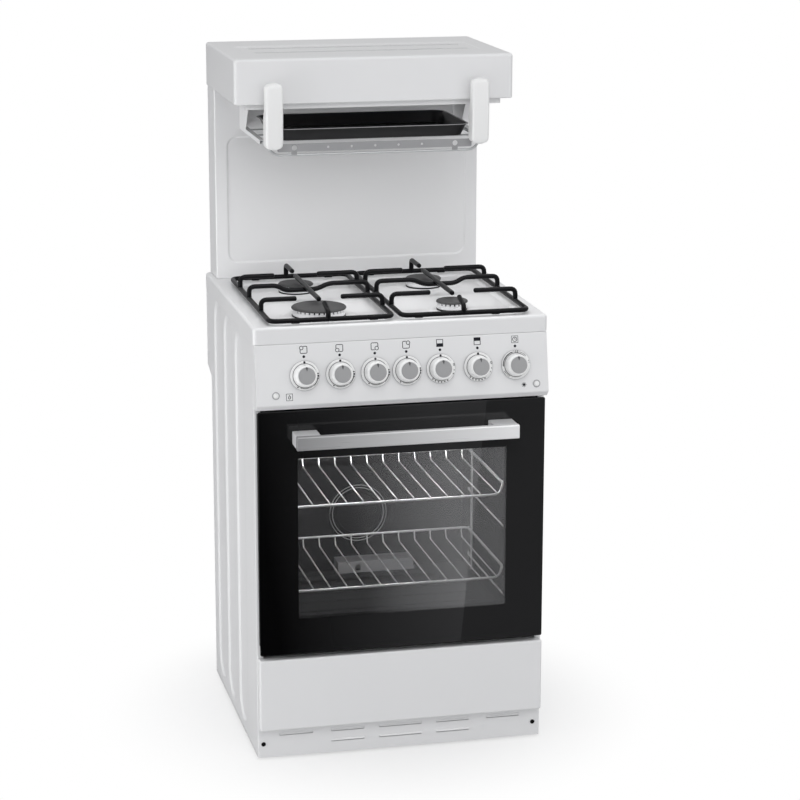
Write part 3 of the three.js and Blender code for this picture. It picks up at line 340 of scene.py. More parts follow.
def lathe(name, profile, paint, body, slot, matrix=None, segments=64, **rest):
    bm = bmesh.new()
    rows = []
    for r, z in profile:
        ring = circle(r / 1000.0, segments) if r > 1e-6 else [(0, 0)]
        rows.append([bm.verts.new((a, b, z / 1000.0)) for a, b in ring])
    for one, two in zip(rows, rows[1:]):
        for i in range(segments):
            j = (i + 1) % segments
            corners = dict.fromkeys((one[i % len(one)], one[j % len(one)], two[j % len(two)], two[i % len(two)]))
            if len(corners) > 2:
                bm.faces.new(list(corners))
    bm.transform(matrix or Matrix.Identity(4))
    return finish_mesh(name, bm, paint, body, slot, **rest)


BEND_STEPS = 5


def route(corners, bend):
    """Points along the corners, with each corner rounded."""
    points = [Vector(c) for c in corners]
    made = [points[0]]
    for before, corner, after in zip(points, points[1:], points[2:]):
        into, away = corner - before, after - corner
        reach = min(bend, into.length / 2.1, away.length / 2.1)
        start = corner - into.normalized() * reach
        end = corner + away.normalized() * reach
        for i in range(BEND_STEPS + 1):
            t = i / BEND_STEPS
            made.append(start.lerp(corner, t).lerp(corner.lerp(end, t), t))
    made.append(points[-1])
    return made


TUBE_SIDES = 14
TUBE_END = [(0.98, 0.35), (0.80, 0.75), (0.45, 0.95)]  # a rounded end's rings: how wide, and how far out


def add_tube(bm, points, radius, closed):
    count = len(points)
    tangents = []
    for i in range(count):
        if closed:
            a, b = points[i - 1], points[(i + 1) % count]
        else:
            a, b = points[max(i - 1, 0)], points[min(i + 1, count - 1)]
        tangents.append((b - a).normalized())
    side = tangents[0].orthogonal().normalized()
    rings = []
    for i in range(count):
        side = (side - tangents[i] * side.dot(tangents[i])).normalized()
        rings.append((points[i], tangents[i], side.copy(), radius))
    if not closed:
        head, tail = rings[0], rings[-1]
        front = [(head[0] - head[1] * radius * out, head[1], head[2], radius * wide) for wide, out in TUBE_END]
        back = [(tail[0] + tail[1] * radius * out, tail[1], tail[2], radius * wide) for wide, out in TUBE_END]
        rings = front[::-1] + rings + back
    rows = []
    for at, along, across, r in rings:
        other = along.cross(across)
        rows.append([bm.verts.new(place(*(at + (across * c + other * s) * r))) for c, s in circle(1.0, TUBE_SIDES)])
    for one, two in zip(rows, rows[1:]):
        skin(bm, one, two)
    if closed:
        skin(bm, rows[-1], rows[0])
    else:
        bm.faces.new(rows[0])
        bm.faces.new(rows[-1])


def rods(name, tubes, paint, body, slot, **rest):
    """tubes are (corners, radius, bend, closed)."""
    bm = bmesh.new()
    for corners, radius, bend, closed in tubes:
        if closed:
            first = (Vector(corners[0]) + Vector(corners[-1])) / 2
            points = route([first, *corners, first], bend)[:-1]
        else:
            points = route(corners, bend)
        add_tube(bm, points, radius, closed)
    return finish_mesh(name, bm, paint, body, slot, angle=50, **rest)


def dress(paint, slot, *names):
    """A CAD node stays, with a better material and smooth curves."""
    for name in names:
        obj = NODES[name]
        obj.data.materials.clear()
        obj.data.materials.append(paint.mat)
        modifier = obj.modifiers.new("smooth", "NODES")
        modifier.node_group = SMOOTH


def smooth_group():
    """Geometry nodes that weld a mesh and shade it smooth, but for its edges over 32 degrees."""
    tree = bpy.data.node_groups.new("smooth_by_angle", "GeometryNodeTree")
    tree.interface.new_socket("Geometry", in_out="INPUT", socket_type="NodeSocketGeometry")
    tree.interface.new_socket("Geometry", in_out="OUTPUT", socket_type="NodeSocketGeometry")
    entry, leave = add_node(tree, "NodeGroupInput"), add_node(tree, "NodeGroupOutput")
    weld = add_node(tree, "GeometryNodeMergeByDistance", {"Geometry": entry.outputs[0], "Distance": 1e-5})
    faces = add_node(tree, "GeometryNodeSetShadeSmooth", {"Geometry": weld.outputs[0]})
    angle = add_node(tree, "GeometryNodeInputMeshEdgeAngle")
    test = add_node(tree, "FunctionNodeCompare", {"A": angle.outputs["Unsigned Angle"], "B": math.radians(32)},
                    operation="GREATER_THAN")
    edges = add_node(tree, "GeometryNodeSetShadeSmooth", {"Geometry": faces.outputs[0], "Selection": test.outputs[0],
                                                          "Shade Smooth": False}, domain="EDGE")
    tree.links.new(edges.outputs[0], leave.inputs[0])
    return tree


SMOOTH = smooth_group()
CASE = "cooker_case"

# ------------------------------------------------------------------ nodes that stay
dress(WHITE, "white_enamel", "plinth", "grill_chassis")
dress(ZINC, "galvanised_steel", "back_panel", "base_tray", "storage_liner", "door_hinge_left", "door_hinge_right",
      "gas_tap_rail", "splashback_rear_cover", "grill_burner")
dress(FOOT, "foot_plastic", "foot_front_left", "foot_rear_left", "foot_front_right", "foot_rear_right")
dress(OVEN, "grey_enamel", "oven_cavity", "oven_burner")
dress(STRIP, "grey_enamel", "oven_burner_cover")
dress(WOOL, "mineral_wool", "oven_insulation")
dress(LAMP, "lamp_glass", "oven_lamp")
dress(CHROME, "chrome_wire", "shelf_runner_left", "shelf_runner_right")
dress(SEAL, "seal_cord", "door_seal")
dress(PAN, "black_enamel", "door_inner_panel")
dress(PANE, "door_glass", "door_inner_glass")

# ------------------------------------------------------------------ hob
HOB_HALF, HOB_DEPTH = 300.0, 598.0
HOB_TOP, HOB_LOW = 905.0, 871.0
WELL = (-252.0, 28.0, 252.0, 448.0)
WELL_FLOOR, WELL_CORNER = 901.0, 28.0
MIDDLES = {"left": -146.0, "right": 130.0}
FRONT_ROW, REAR_ROW = 112.0, 357.0
BURNERS = {"left_rear": (MIDDLES["left"], REAR_ROW, 37), "left_front": (MIDDLES["left"], FRONT_ROW, 55.5),
           "right_rear": (MIDDLES["right"], REAR_ROW, 38), "right_front": (MIDDLES["right"], FRONT_ROW, 32.5)}


def hob_ring(inset):
    return rounded(-HOB_HALF + inset, inset, HOB_HALF - inset, HOB_DEPTH - inset, max(9 - inset * 0.8, 2))


def well_ring(inset):
    a0, b0, a1, b1 = WELL
    return rounded(a0 + inset, b0 + inset, a1 - inset, b1 - inset, WELL_CORNER - inset)


def build_hob():
    rings = [(hob_ring(2), 897), (hob_ring(2), HOB_LOW), (hob_ring(0.4), HOB_LOW), (hob_ring(0), HOB_LOW + 0.5)]
    rings += soft_edge(hob_ring, HOB_TOP, 6, 1)
    for i in range(7):
        t = i / 6.0
        drop = (1 - math.cos(math.pi * t)) / 2
        rings.append((well_ring(-6 + 12 * t), HOB_TOP + (WELL_FLOOR - HOB_TOP) * drop))
    loft("hob_plate", rings, WHITE, CASE, "white_enamel", replaces=["hob_top"])


build_hob()


TOOTH_LOW, TOOTH_HIGH, LID_LOW = 11.1, 15.2, 15.3  # heights over the well's floor
TOOTH_SHARE = 0.66  # of its step round the crown


def build_burner(name, x, y, r):
    move = Matrix.Translation(place(x, y, WELL_FLOOR))
    collar = [(r + 22, -0.4), (r + 20, 0.5), (r + 14, 1.3), (r + 6, 1.6), (r + 2, 0.9), (r - 4, 0.4)]
    lathe("burner_collar_" + name, collar, WHITE, CASE, "white_enamel", move, 72, closed=False)
    base = [(r - 16, -10), (r - 14, 0.3), (r - 4, 0.3), (r - 4, 2.8), (r - 2.6, 3.0), (r - 2.0, 3.8), (r - 2.3, 10.7),
            (r - 3.2, 11.3), (8, 11.3), (8, -10), (r - 16, -10)]
    lathe("burner_base_" + name, base, ALLOY, CASE, "cast_aluminium", move, 72)
    # painted shade, in black: a thin ring in the gap at the crown's foot, and a core behind the teeth that darkens the
    # ports between them
    for part, (far, deep, high) in {"gap": (r - 1.0, 0.35, 2.7), "port_shade": (r - 6.0, 11.2, 15.3)}.items():
        ring = [(8, deep), (far, deep), (far, high), (8, high), (8, deep)]
        lathe("burner_%s_%s" % (part, name), ring, ROD, CASE, "black_rod", move, 72)
    bm = bmesh.new()
    teeth = int(round(r * 0.6))
    outer, inner = r - 2.6, r - 6.5
    for i in range(teeth):
        start = math.tau * i / teeth
        span = math.tau / teeth * TOOTH_SHARE
        corners = []
        for radius, z in ((outer, TOOTH_LOW), (outer, TOOTH_HIGH), (inner, TOOTH_HIGH), (inner, TOOTH_LOW)):
            corners.append([bm.verts.new((radius / 1000 * math.cos(a), radius / 1000 * math.sin(a), z / 1000))
                            for a in (start, start + span / 2, start + span)])
        for k in range(4):
            one, two = corners[k], corners[(k + 1) % 4]
            for m in range(2):
                bm.faces.new((one[m], one[m + 1], two[m + 1], two[m]))
        bm.faces.new([c[0] for c in corners])
        bm.faces.new([c[2] for c in reversed(corners)])
    bm.transform(move)
    finish_mesh("burner_crown_ring_" + name, bm, ALLOY, CASE, "cast_aluminium", angle=30,
                replaces=["burner_crown_" + name])
    low = LID_LOW
    cap = [(0, low), (r - 2, low), (r - 0.6, low + 0.5), (r, low + 1.6), (r - 0.5, low + 3.2), (r - 2.2, low + 4.6),
           (r - 5, low + 5.4), (r * 0.5, low + 5.9), (0, low + 6)]
    lathe("burner_lid_" + name, cap, CAP, CASE, "black_rod", move, 72, replaces=["burner_cap_" + name])


for label, (bx, by, br) in BURNERS.items():
    build_burner(label, bx, by, br)
    electrode = [(0, 0), (3.2, 0), (3.2, 3), (2.4, 4), (2.4, 13), (1.2, 15), (0, 15.5)]
    lathe("spark_electrode_" + label, electrode, PLASTIC, CASE, "white_enamel",
          Matrix.Translation(place(bx + (br + 6) * 0.76, by + (br + 6) * 0.65, WELL_FLOOR)), 20)


def build_support(label, inner, outer):
    middle = MIDDLES[label]
    low, top, rod, bend = HOB_TOP + 8.5, HOB_TOP + 33, 5.0, 13
    front, back, wave = 16.5, 466.0, 250.0
    spine = top - 3
    dip = spine - 1.6 * rod

    def toward(x, reach):
        return middle + math.copysign(reach, x - middle)

    tubes = [([(inner, front, low), (outer, front, low), (outer, back, low), (inner, back, low)], rod, 18, True)]
    for y in (FRONT_ROW, REAR_ROW):
        for x in (inner, outer):
            tubes.append(([(x, y, low), (x, y, top), (toward(x, 50), y, top)], rod, bend, False))
    tubes.append(([(outer, wave, low), (outer, wave, top), (toward(outer, 60), wave, top),
                   (toward(outer, 42), wave, dip), (toward(inner, 24), wave, dip), (toward(inner, 48), wave, top),
                   (inner, wave, top), (inner, wave, low)], rod, bend, False))
    tubes.append(([(middle, FRONT_ROW, spine), (middle, REAR_ROW, spine)], rod, 5, False))
    tubes.append(([(middle, front, low), (middle, front, top - 9), (middle, FRONT_ROW - 60, top)], rod, 9, False))
    tubes.append(([(middle, back, low), (middle, back, top), (middle, REAR_ROW + 40, top)], rod, 9, False))
    outward = math.copysign(1, middle)
    for x in (middle + outward * 66, middle - outward * 92):
        for y in (front, back):
            tubes.append(([(x - 5, y, low - 0.8), (x + 5, y, low - 0.8)], 5.6, 1, False))
    rods("support_frame_" + label, tubes, ROD, label + "_support", "black_rod", replaces=["pan_support_" + label])


build_support("left", -15.0, -263.5)
build_support("right", 4.0, 263.5)

# ------------------------------------------------------------------ splashback and hood
SPLASH_LOW, SPLASH_HIGH = 905.3, 1401.2
SPLASH_FRONT, SPLASH_BACK = 515, 597


def build_splashback():
    def outline(inset):
        return rounded(-288 + inset, SPLASH_LOW, 288 - inset, SPLASH_HIGH, 1)

    def emboss(inset):
        return rounded(-264 + inset, 936 + inset, 264 - inset, 1212 - inset, 24 - inset, 7)

    rings = [(outline(1.2), SPLASH_BACK), (outline(0), SPLASH_BACK)] + soft_edge(outline, SPLASH_FRONT, 3, -1)
    for i in range(6):
        t = i / 5.0
        rings.append((emboss(6 * t), SPLASH_FRONT + 2.6 * (1 - math.cos(math.pi * t)) / 2))
    loft("splash_panel", rings, WHITE, CASE, "white_enamel", axis="y", replaces=["splashback"])


build_splashback()
HOOD_TOP, HOOD_LOW = 1403.0, 1311.0
VENT_ROWS = (370, 450)


def build_hood():
    def outline(inset):
        r = max(9 - inset * 0.7, 2)
        return rounded(-290 + inset, 240 + inset, 290 - inset, 600 - inset * 0.3, (r, 1, 1, r))

    def field(inset):
        return rounded(-250 + inset, 338 + inset, 250 - inset, 490 - inset, 14)

    def slot(y):
        return rounded(-228, y - 7.5, 228, y + 7.5, 7.4)[::-1]

    rings = [(outline(3), 1330), (outline(3), HOOD_LOW + 1.5)]
    for i in range(5):
        t = math.radians(90.0 * i / 4)
        rings.append((outline(3 * (1 - math.sin(t))), HOOD_LOW + 3 * (1 - math.cos(t))))
    rings += soft_edge(outline, HOOD_TOP, 6, 1)
    for i in range(4):
        t = i / 3.0
        rings.append((field(3 * t), HOOD_TOP - 1.2 * (1 - math.cos(math.pi * t)) / 2))
    loft("hood_shell", rings, WHITE, CASE, "white_enamel", holes=[slot(y) for y in VENT_ROWS],
         replaces=["grill_hood"], angle=40)
    # painted shade: a grey strip at the bottom of each vent slot
    for number, y in enumerate(VENT_ROWS):
        strip = slot(y)[::-1]
        loft("vent_shade_%d" % (number + 1), [(strip, HOOD_TOP - 2.9), (strip, HOOD_TOP - 2.5)], GREY_TRIM_AND_PAINTED_LIGHT, CASE,
             "white_enamel")


build_hood()

# ------------------------------------------------------------------ side panels
FLUTES = ((446, 864), (320, 859), (181, 855))  # middle and top of each
FLUTE_HALF, FLUTE_DEPTH, FLUTE_LOW, FLUTE_SLOPE = 48.0, 3.0, 28, 6.0
SIDE_FACE, SIDE_BACK, STEP_BACK = 298, 545.0, 598.0
SIDE_LOW, STEP_LOW, STEP_HIGH, SIDE_HIGH = 5.0, 684.0, 700.0, 870.7
DIMPLES = ((521, 846), (88, 832), (525, 455), (86, 432), (527, 43), (92, 50))


def press_depth(y, z):
    depth = 0.0
    for centre, top in FLUTES:
        along = min(max(z, FLUTE_LOW + FLUTE_HALF), top - FLUTE_HALF)
        distance = math.hypot(y - centre, z - along) - FLUTE_HALF
        t = min(max(0.5 - distance / FLUTE_SLOPE, 0.0), 1.0)
        depth = max(depth, FLUTE_DEPTH * t * t * (3 - 2 * t))
    return depth


def build_side(side, label):
    bm = bmesh.new()
    levels = sorted({SIDE_LOW, STEP_LOW, STEP_HIGH, SIDE_HIGH, *[SIDE_LOW + 4.4 * i for i in range(1, 197)]})
    front, last, columns = 13.8, 541.0, 136
    fold = [(285, 13.2), (285, 12.1), (285.3, 12), (296.2, 12), (297.3, 12.5), (SIDE_FACE, front)]
    rows = []
    for z in levels:
        step = min(max((z - STEP_LOW) / (STEP_HIGH - STEP_LOW), 0.0), 1.0)
        back = SIDE_BACK + (STEP_BACK - SIDE_BACK) * step
        row = [bm.verts.new(place(side * x, y, z)) for x, y in fold]
        for i in range(1, columns + 1):
            y = front + (last - front) * i / columns
            row.append(bm.verts.new(place(side * (SIDE_FACE - press_depth(y, z)), y, z)))
        for y in (SIDE_BACK, (SIDE_BACK + back) / 2, back):
            row.append(bm.verts.new(place(side * SIDE_FACE, y, z)))
        row.append(bm.verts.new(place(side * (SIDE_FACE - 1.2), back, z)))
        rows.append(row)
    for one, two in zip(rows, rows[1:]):
        for i in range(len(one) - 1):
            apart = {}
            for v in (one[i], one[i + 1], two[i + 1], two[i]):
                apart.setdefault(tuple(round(c, 6) for c in v.co), v)
            face = list(apart.values())
            if len(face) > 2:
                bm.faces.new(face if side < 0 else face[::-1])
    obj = finish_mesh("side_plate_" + label, bm, WHITE, CASE, "white_enamel", closed=False,
                      replaces=["side_panel_" + label])
    thick = obj.modifiers.new("thickness", "SOLIDIFY")
    thick.thickness = 0.001
    thick.offset = 1
    turn = Matrix.Rotation(math.radians(90 * side), 4, "Y")
    for number, (y, z) in enumerate(DIMPLES):
        ring = [(7.5, 0.0), (6.5, 0.35), (5.6, 0.0), (5.0, -0.6), (3.0, -0.9), (0, -0.9)]
        lathe("side_dimple_%s_%d" % (label, number + 1), [(r, h * 0.5 - 0.05) for r, h in ring], WHITE, CASE,
              "white_enamel", Matrix.Translation(place(side * 297.8, y, z)) @ turn, 28, closed=False)


build_side(-1, "left")
build_side(1, "right")

# ------------------------------------------------------------------ flap and door
def build_flap():
    def outline(inset):
        return rounded(-296 + inset, 68 + inset, 296 - inset, 219 - inset, max(3.5 - inset * 0.6, 1))

    rings = [(outline(1.2), -6.5), (outline(1.2), 10), (outline(0.3), 10), (outline(0), 9.6)]
    rings += soft_edge(outline, -8, 3.5, -1)
    loft("flap_panel", rings, WHITE, "storage_door", "white_enamel", axis="y", replaces=["storage_flap"])


def build_door():
    def outline(inset):
        return rounded(-294.5 + inset, 230.5 + inset, 294.5 - inset, 737 - inset, 3.5 - inset)

    rings = [(outline(0.6), -6), (outline(0), -6.6)] + soft_edge(outline, -10, 1.2, -1, 3)
    loft("door_glass_sheet", rings, GLASS, "oven_door", "door_glass", axis="y", replaces=["door_outer_glass"])

    # a black strip down each side of the door, between the glass and the case, which hides the white fold of the side
    # panel behind it
    for side, label in ((-1, "left"), (1, "right")):
        low, high = sorted((side * 291.5, side * 294.0))
        dark_strip = [(low, -6.2), (high, -6.2), (high, 6.0), (low, 6.0)]
        loft("door_side_dark_strip_" + label, [(dark_strip, 250), (dark_strip, 732)], ROD, "oven_door", "black_rod")

    def bar(inset):
        return rounded(-66 + inset, 669 + inset, -52 - inset, 697 - inset, max(3 - inset * 0.6, 1))

    ends = soft_edge(bar, 226, 1.2, 1, 3)
    rings = [(points, -level) for points, level in reversed(ends)] + ends
    loft("handle_bar_steel", rings, STEEL, "oven_door", "handle_steel", axis="x", replaces=["door_handle_bar"])
    for side, label in ((-1, "left"), (1, "right")):
        def post(inset):
            return rounded(-52, 669.6 + inset, -10, 696.4 - inset, 1.2)

        inner, outer = side * 176.0, side * 225.4
        low, high = min(inner, outer), max(inner, outer)
        rings = [(post(1), low), (post(0), low + 1), (post(0), high - 1), (post(1), high)]
        loft("handle_post_" + label, rings, BRIGHT, "oven_door", "chrome_wire", axis="x",
             replaces=["door_handle_post_" + label])


build_flap()
build_door()

# ------------------------------------------------------------------ fascia
KNEE, TOP_EDGE, LEAN = 752.0, 870.7, 22.0
TILT = math.atan2(LEAN, TOP_EDGE - KNEE)
KNOB_Z = 808.0
FASCIA_Y = -LEAN * (TOP_EDGE - KNOB_Z) / (TOP_EDGE - KNEE)


def on_fascia(x, z, out=0.0):
    """A point x across, z up the face from the knobs' line, out from it."""
    y = FASCIA_Y + z * math.sin(TILT) - out * math.cos(TILT)
    return place(x, y, KNOB_Z + z * math.cos(TILT) + out * math.sin(TILT))


def fascia_matrix(x, z, out=0.0):
    """Turns +Z to stand out of the fascia and +Y to run up it."""
    across = Vector((1, 0, 0))
    up = Vector((0, math.sin(TILT), math.cos(TILT)))
    outward = across.cross(up)
    turn = Matrix((across, up, outward)).transposed().to_4x4()
    return Matrix.Translation(on_fascia(x, z, out)) @ turn


def build_fascia():
    corner = 4.0
    lean = math.degrees(TILT)
    knee_y = -LEAN + corner / math.cos(TILT)
    profile = [(11.7, 741.3), (-11, 741.3)]
    profile += arc_points(knee_y + 0.3, KNEE + 1.5, corner, 238, 180 - lean, 5)
    profile += [(-0.5, TOP_EDGE - 2.6), (0.0, TOP_EDGE - 1.4), (1.0, TOP_EDGE - 0.5), (2.4, TOP_EDGE), (11.7, TOP_EDGE)]

    def section(inset):
        cy, cz = 0.0, 806.0
        return [(y + (cy - y) * inset / 60.0 if y < 5 else y, z + (cz - z) * inset / 60.0) for y, z in profile]

    rings = [(section(1.0), -298), (section(0.3), -297.6), (section(0), -296.8),
             (section(0), 296.8), (section(0.3), 297.6), (section(1.0), 298)]
    loft("fascia_panel", rings, WHITE, CASE, "white_enamel", axis="x", replaces=["control_panel"], angle=30)


build_fascia()


def lift(matrix, points, height):
    return [matrix @ Vector((a / 1000, b / 1000, height / 1000)) for a, b in points]


def add_prism(bm, low, top):
    one = [bm.verts.new(v) for v in low]
    two = [bm.verts.new(v) for v in top]
    skin(bm, one, two)
    bm.faces.new(one[::-1])
    bm.faces.new(two)


def add_disc(bm, matrix, cx, cy, r, height, segments=24):
    ring = circle(r, segments, cx, cy)
    add_prism(bm, lift(matrix, ring, -0.15), lift(matrix, ring, height))


def add_stroke(bm, matrix, points, width, height=0.12, closed=False):
    """A printed line along points in millimetres, as a thin closed ribbon."""
    count = len(points)
    left, right = [], []
    for i in range(count):
        a = points[i - 1] if closed or i else points[i]
        b = points[(i + 1) % count] if closed or i < count - 1 else points[i]
        dx, dy = b[0] - a[0], b[1] - a[1]
        length = math.hypot(dx, dy) or 1.0
        nx, ny = -dy / length * width / 2, dx / length * width / 2
        left.append((points[i][0] + nx, points[i][1] + ny))
        right.append((points[i][0] - nx, points[i][1] - ny))
    for i in range(count if closed else count - 1):
        j = (i + 1) % count
        quad = [left[i], left[j], right[j], right[i]]
        add_prism(bm, lift(matrix, quad, -0.12), lift(matrix, quad, height))


KNOBS = (-200, -128, -57, 7, 76, 153, 231)


def build_print():
    bm = bmesh.new()
    corners = ((-1, 1), (-1, -1), (1, -1), (1, 1))
    half, bend = 6.9, 2.2
    ring = [(-half, 0.4), *arc_points(bend - half, bend - half, bend, 180, 270, 4),
            *arc_points(half - bend, bend - half, bend, 270, 360, 4),
            *arc_points(half - bend, half - bend, bend, 0, 90, 4), (-0.4, half)]
    for number, x in enumerate(KNOBS):
        add_disc(bm, fascia_matrix(x, 0), 0, 37.5, 2.7, 0.12)
        icon = fascia_matrix(x, 51)
        if number < 4:
            sx, sy = corners[number]
            add_stroke(bm, icon, [(-sx * a, sy * b) for a, b in ring], 1.35)
            add_stroke(bm, icon, arc_points(sx * 4.4, sy * 3.8, 3.6, 0, 360, 20)[:-1], 1.3, closed=True)
        elif number < 6:
            box = [(-6.4, -7), (6.4, -7), (6.4, 7), (-6.4, 7)]
            add_stroke(bm, icon, box, 1.7, closed=True)
            low, high = (-6.6, -0.6) if number == 4 else (0.6, 6.6)
            add_stroke(bm, icon, [(-5.8, (low + high) / 2), (5.8, (low + high) / 2)], high - low)
        else:
            add_stroke(bm, icon, [(-6.6, -6.8), (6.6, -6.8), (6.6, 6.8), (-6.6, 6.8)], 1.2, closed=True)
            add_stroke(bm, icon, arc_points(0, 0, 4.4, 0, 360, 24)[:-1], 1.2, closed=True)
            add_stroke(bm, icon, [(0, 3.0), (0, 0), (2.6, 0)], 1.1)
    flame = fascia_matrix(-232, -41)
    add_stroke(bm, flame, [(-6.2, -6.6), (6.2, -6.6), (6.2, 6.6), (-6.2, 6.6)], 1.2, closed=True)
    drop = [(0, 4.2), (2.0, 0.8), (2.2, -1.4), (0.8, -3.4), (-0.8, -3.4), (-2.2, -1.4), (-1.2, 0.6)]
    add_stroke(bm, flame, drop, 1.4, closed=True)
    lamp = fascia_matrix(247, -41)
    add_disc(bm, lamp, 0, 0, 2.5, 0.12)
    for i in range(8):
        a = math.tau * i / 8
        add_stroke(bm, lamp, [(r * math.cos(a), r * math.sin(a)) for r in (2.6, 5.0)], 1.1)
    finish_mesh("panel_print", bm, PRINT, CASE, "black_rod")


build_print()
DIGITS = {"1": [[(-0.4, 1.4), (0.6, 2.2), (0.6, -2.2)]],
          "2": [[(-1.2, 1.4), (-0.5, 2.2), (0.7, 2.2), (1.2, 1.2), (-1.2, -2.2), (1.3, -2.2)]],
          "0": [[(-1.1, 1.4), (0, 2.3), (1.1, 1.4), (1.1, -1.4), (0, -2.3), (-1.1, -1.4), (-1.1, 1.4)]]}


KNOB_PARTS = {  # a profile of radius and height, its paint, its slot and its sides
    "dial": ([(0, 1.0), (23.8, 1.0), (23.8, 2.9), (23.5, 2.9), (23.4, 4.4), (21.4, 22.0), (20.8, 24.6), (19.8, 26.2),
              (18.6, 26.9), (17.7, 26.8), (17.1, 26.2), (16.8, 25.4), (0, 25.4)], PLASTIC, "white_plastic", 72),
    "dial_skirt": ([(23.9, 1.2), (29.3, 1.2), (29.3, 2.7), (28.7, 3.3), (25.0, 3.7), (24.6, 3.5), (23.9, 2.6),
                    (23.9, 1.2)], PLASTIC, "white_plastic", 72),
    # the skirt's outer edge in darker grey: the edge itself, with a painted contact shadow round it
    "dial_edge_shadow": ([(29.3, 1.0), (29.8, 1.0), (30.0, 1.3), (30.0, 2.0), (29.8, 2.5), (29.3, 2.75), (29.3, 1.0)],
                  GREY_TRIM_AND_PAINTED_LIGHT, "white_plastic", 72),
    # painted shade: a dark ring in the gap between the knob's body and its skirt
    "dial_gap_shade": ([(23.4, 2.95), (24.7, 2.95), (24.7, 3.45), (23.4, 3.45), (23.4, 2.95)], SHADE, "black_rod", 72),
    "dial_stem": ([(0, -16), (4, -16), (4, 1.0), (0, 1.0)], ZINC, "galvanised_steel", 24),
    "dial_face": ([(0, 25.3), (16.7, 25.3), (16.7, 25.9), (16.2, 26.15), (0, 26.2)], DISC, "white_plastic", 64),
}


def build_knob(number, x):
    body = "knob_body_%d" % number
    matrix = fascia_matrix(x, 0)
    for part, (profile, paint, slot, sides) in KNOB_PARTS.items():
        lathe("%s_%d" % (part, number), profile, paint, body, slot, matrix, sides, angle=28,
              replaces=["knob_%d" % number] if part == "dial" else ())
    bm = bmesh.new()
    wedge = ((-2.2, 16.4), (0.4, 9.4), (2.4, 16.2), (-1.4, 19.4))
    add_prism(bm, lift(matrix, wedge, 25.8), lift(matrix, wedge, 26.8))
    finish_mesh("dial_pointer_%d" % number, bm, SHADE, body, "white_plastic")
    bm = bmesh.new()
    marks = fascia_matrix(x, 0, 3.6)

    def at(r, deg):
        return r * math.cos(math.radians(deg)), r * math.sin(math.radians(deg))

    if number < 7:
        add_disc(bm, marks, 0, 26.5, 2.2, 0.4)
    if number < 5:
        for deg, size in ((7, 1.5), (-3, 2.1), (-13, 1.8), (-124, 1.3)):
            add_disc(bm, marks, *at(26.6, deg), size, 0.4, 10)
        add_stroke(bm, marks, arc_points(0, 0, 26.4, -14, -48), 1.4, 0.4)
        add_stroke(bm, marks, arc_points(0, 0, 25.6, -48, -112), 0.6, 0.4)
    elif number < 7:
        add_stroke(bm, marks, [(25.2, 5), (28.0, 5), (28.0, 9), (25.2, 9)], 1.0, 0.4, closed=True)
        for deg in (-8, -24, -62, -76, -90, -104, -118, -132):
            add_disc(bm, marks, *at(26.6, deg), 1.3, 0.4, 10)
    else:
        for shift, digit in zip((-4.0, 0, 4.0), "120"):
            for line in DIGITS[digit]:
                add_stroke(bm, marks, [(p[0] * 0.85 + shift, p[1] * 0.85 + 26.6) for p in line], 0.8, 0.4)
        add_stroke(bm, marks, arc_points(0, 0, 26.8, 74, 40), 0.7, 0.4)
        add_stroke(bm, marks, arc_points(0, 0, 26.6, 104, 184), 1.7, 0.4)
        for deg in (16, 8, 206, 213, 220, 227, 234):
            add_stroke(bm, marks, [at(25.4, deg), at(28.0, deg)], 1.0, 0.4)
    finish_mesh("dial_marks_%d" % number, bm, PRINT, body, "black_rod")


for index, knob_x in enumerate(KNOBS):
    build_knob(index + 1, knob_x)

for node, body, (bx, bz) in (("ignition_button", "ignition_key", (-259, -37)),
                             ("light_button", "light_key", (273, -40))):
    profile = [(0, -11.5), (3, -11.5), (3, -3.3), (7.2, -3.3), (7.2, -1.8), (5.2, -1.8), (5.2, 3.0), (4.9, 3.7),
               (4.2, 4.1), (0, 4.4)]
    lathe(node + "_cap", profile, PLASTIC, body, "white_plastic", fascia_matrix(bx, bz), 40, replaces=[node])
    bezel = [(5.9, -0.1), (5.9, 0.5), (6.6, 0.9), (7.6, 0.5), (7.8, -0.1)]
    lathe(node + "_bezel", bezel, GREY_TRIM_AND_PAINTED_LIGHT, CASE, "white_enamel", fascia_matrix(bx, bz), 40, closed=False)

# ------------------------------------------------------------------ oven shelves
def build_shelf(level, label):
    high = level + 22
    loop = [(-216, 44, level), (216, 44, level), (226, 52, high), (226, 334, high), (-226, 334, high),
            (-226, 52, high)]
    tubes = [(loop, 2.7, 12, True)]
    for i in range(13):
        x = (i / 12.0 - 0.5) * 420
        tubes.append(([(x, 44, level + 4), (x, 324, level + 4), (x, 330, high - 2)], 1.6, 3, False))
    rods("shelf_wires_" + label, tubes, CHROME, CASE, "chrome_wire", replaces=["shelf_" + label])


# the stamped ring on the oven's back wall, drawn as two lighter grey rods: a painted highlight where its pressed edges
# catch the light
for number, r in enumerate((63, 57)):
    ring = [(x, 418.6, z) for x, z in circle(r, 48, 0, 390)]
    rods("pressed_ring_highlight_%d" % (number + 1), [(ring, 1.1, 1, True)], STRIP, CASE, "grey_enamel")
build_shelf(523, "upper")
build_shelf(345, "lower")

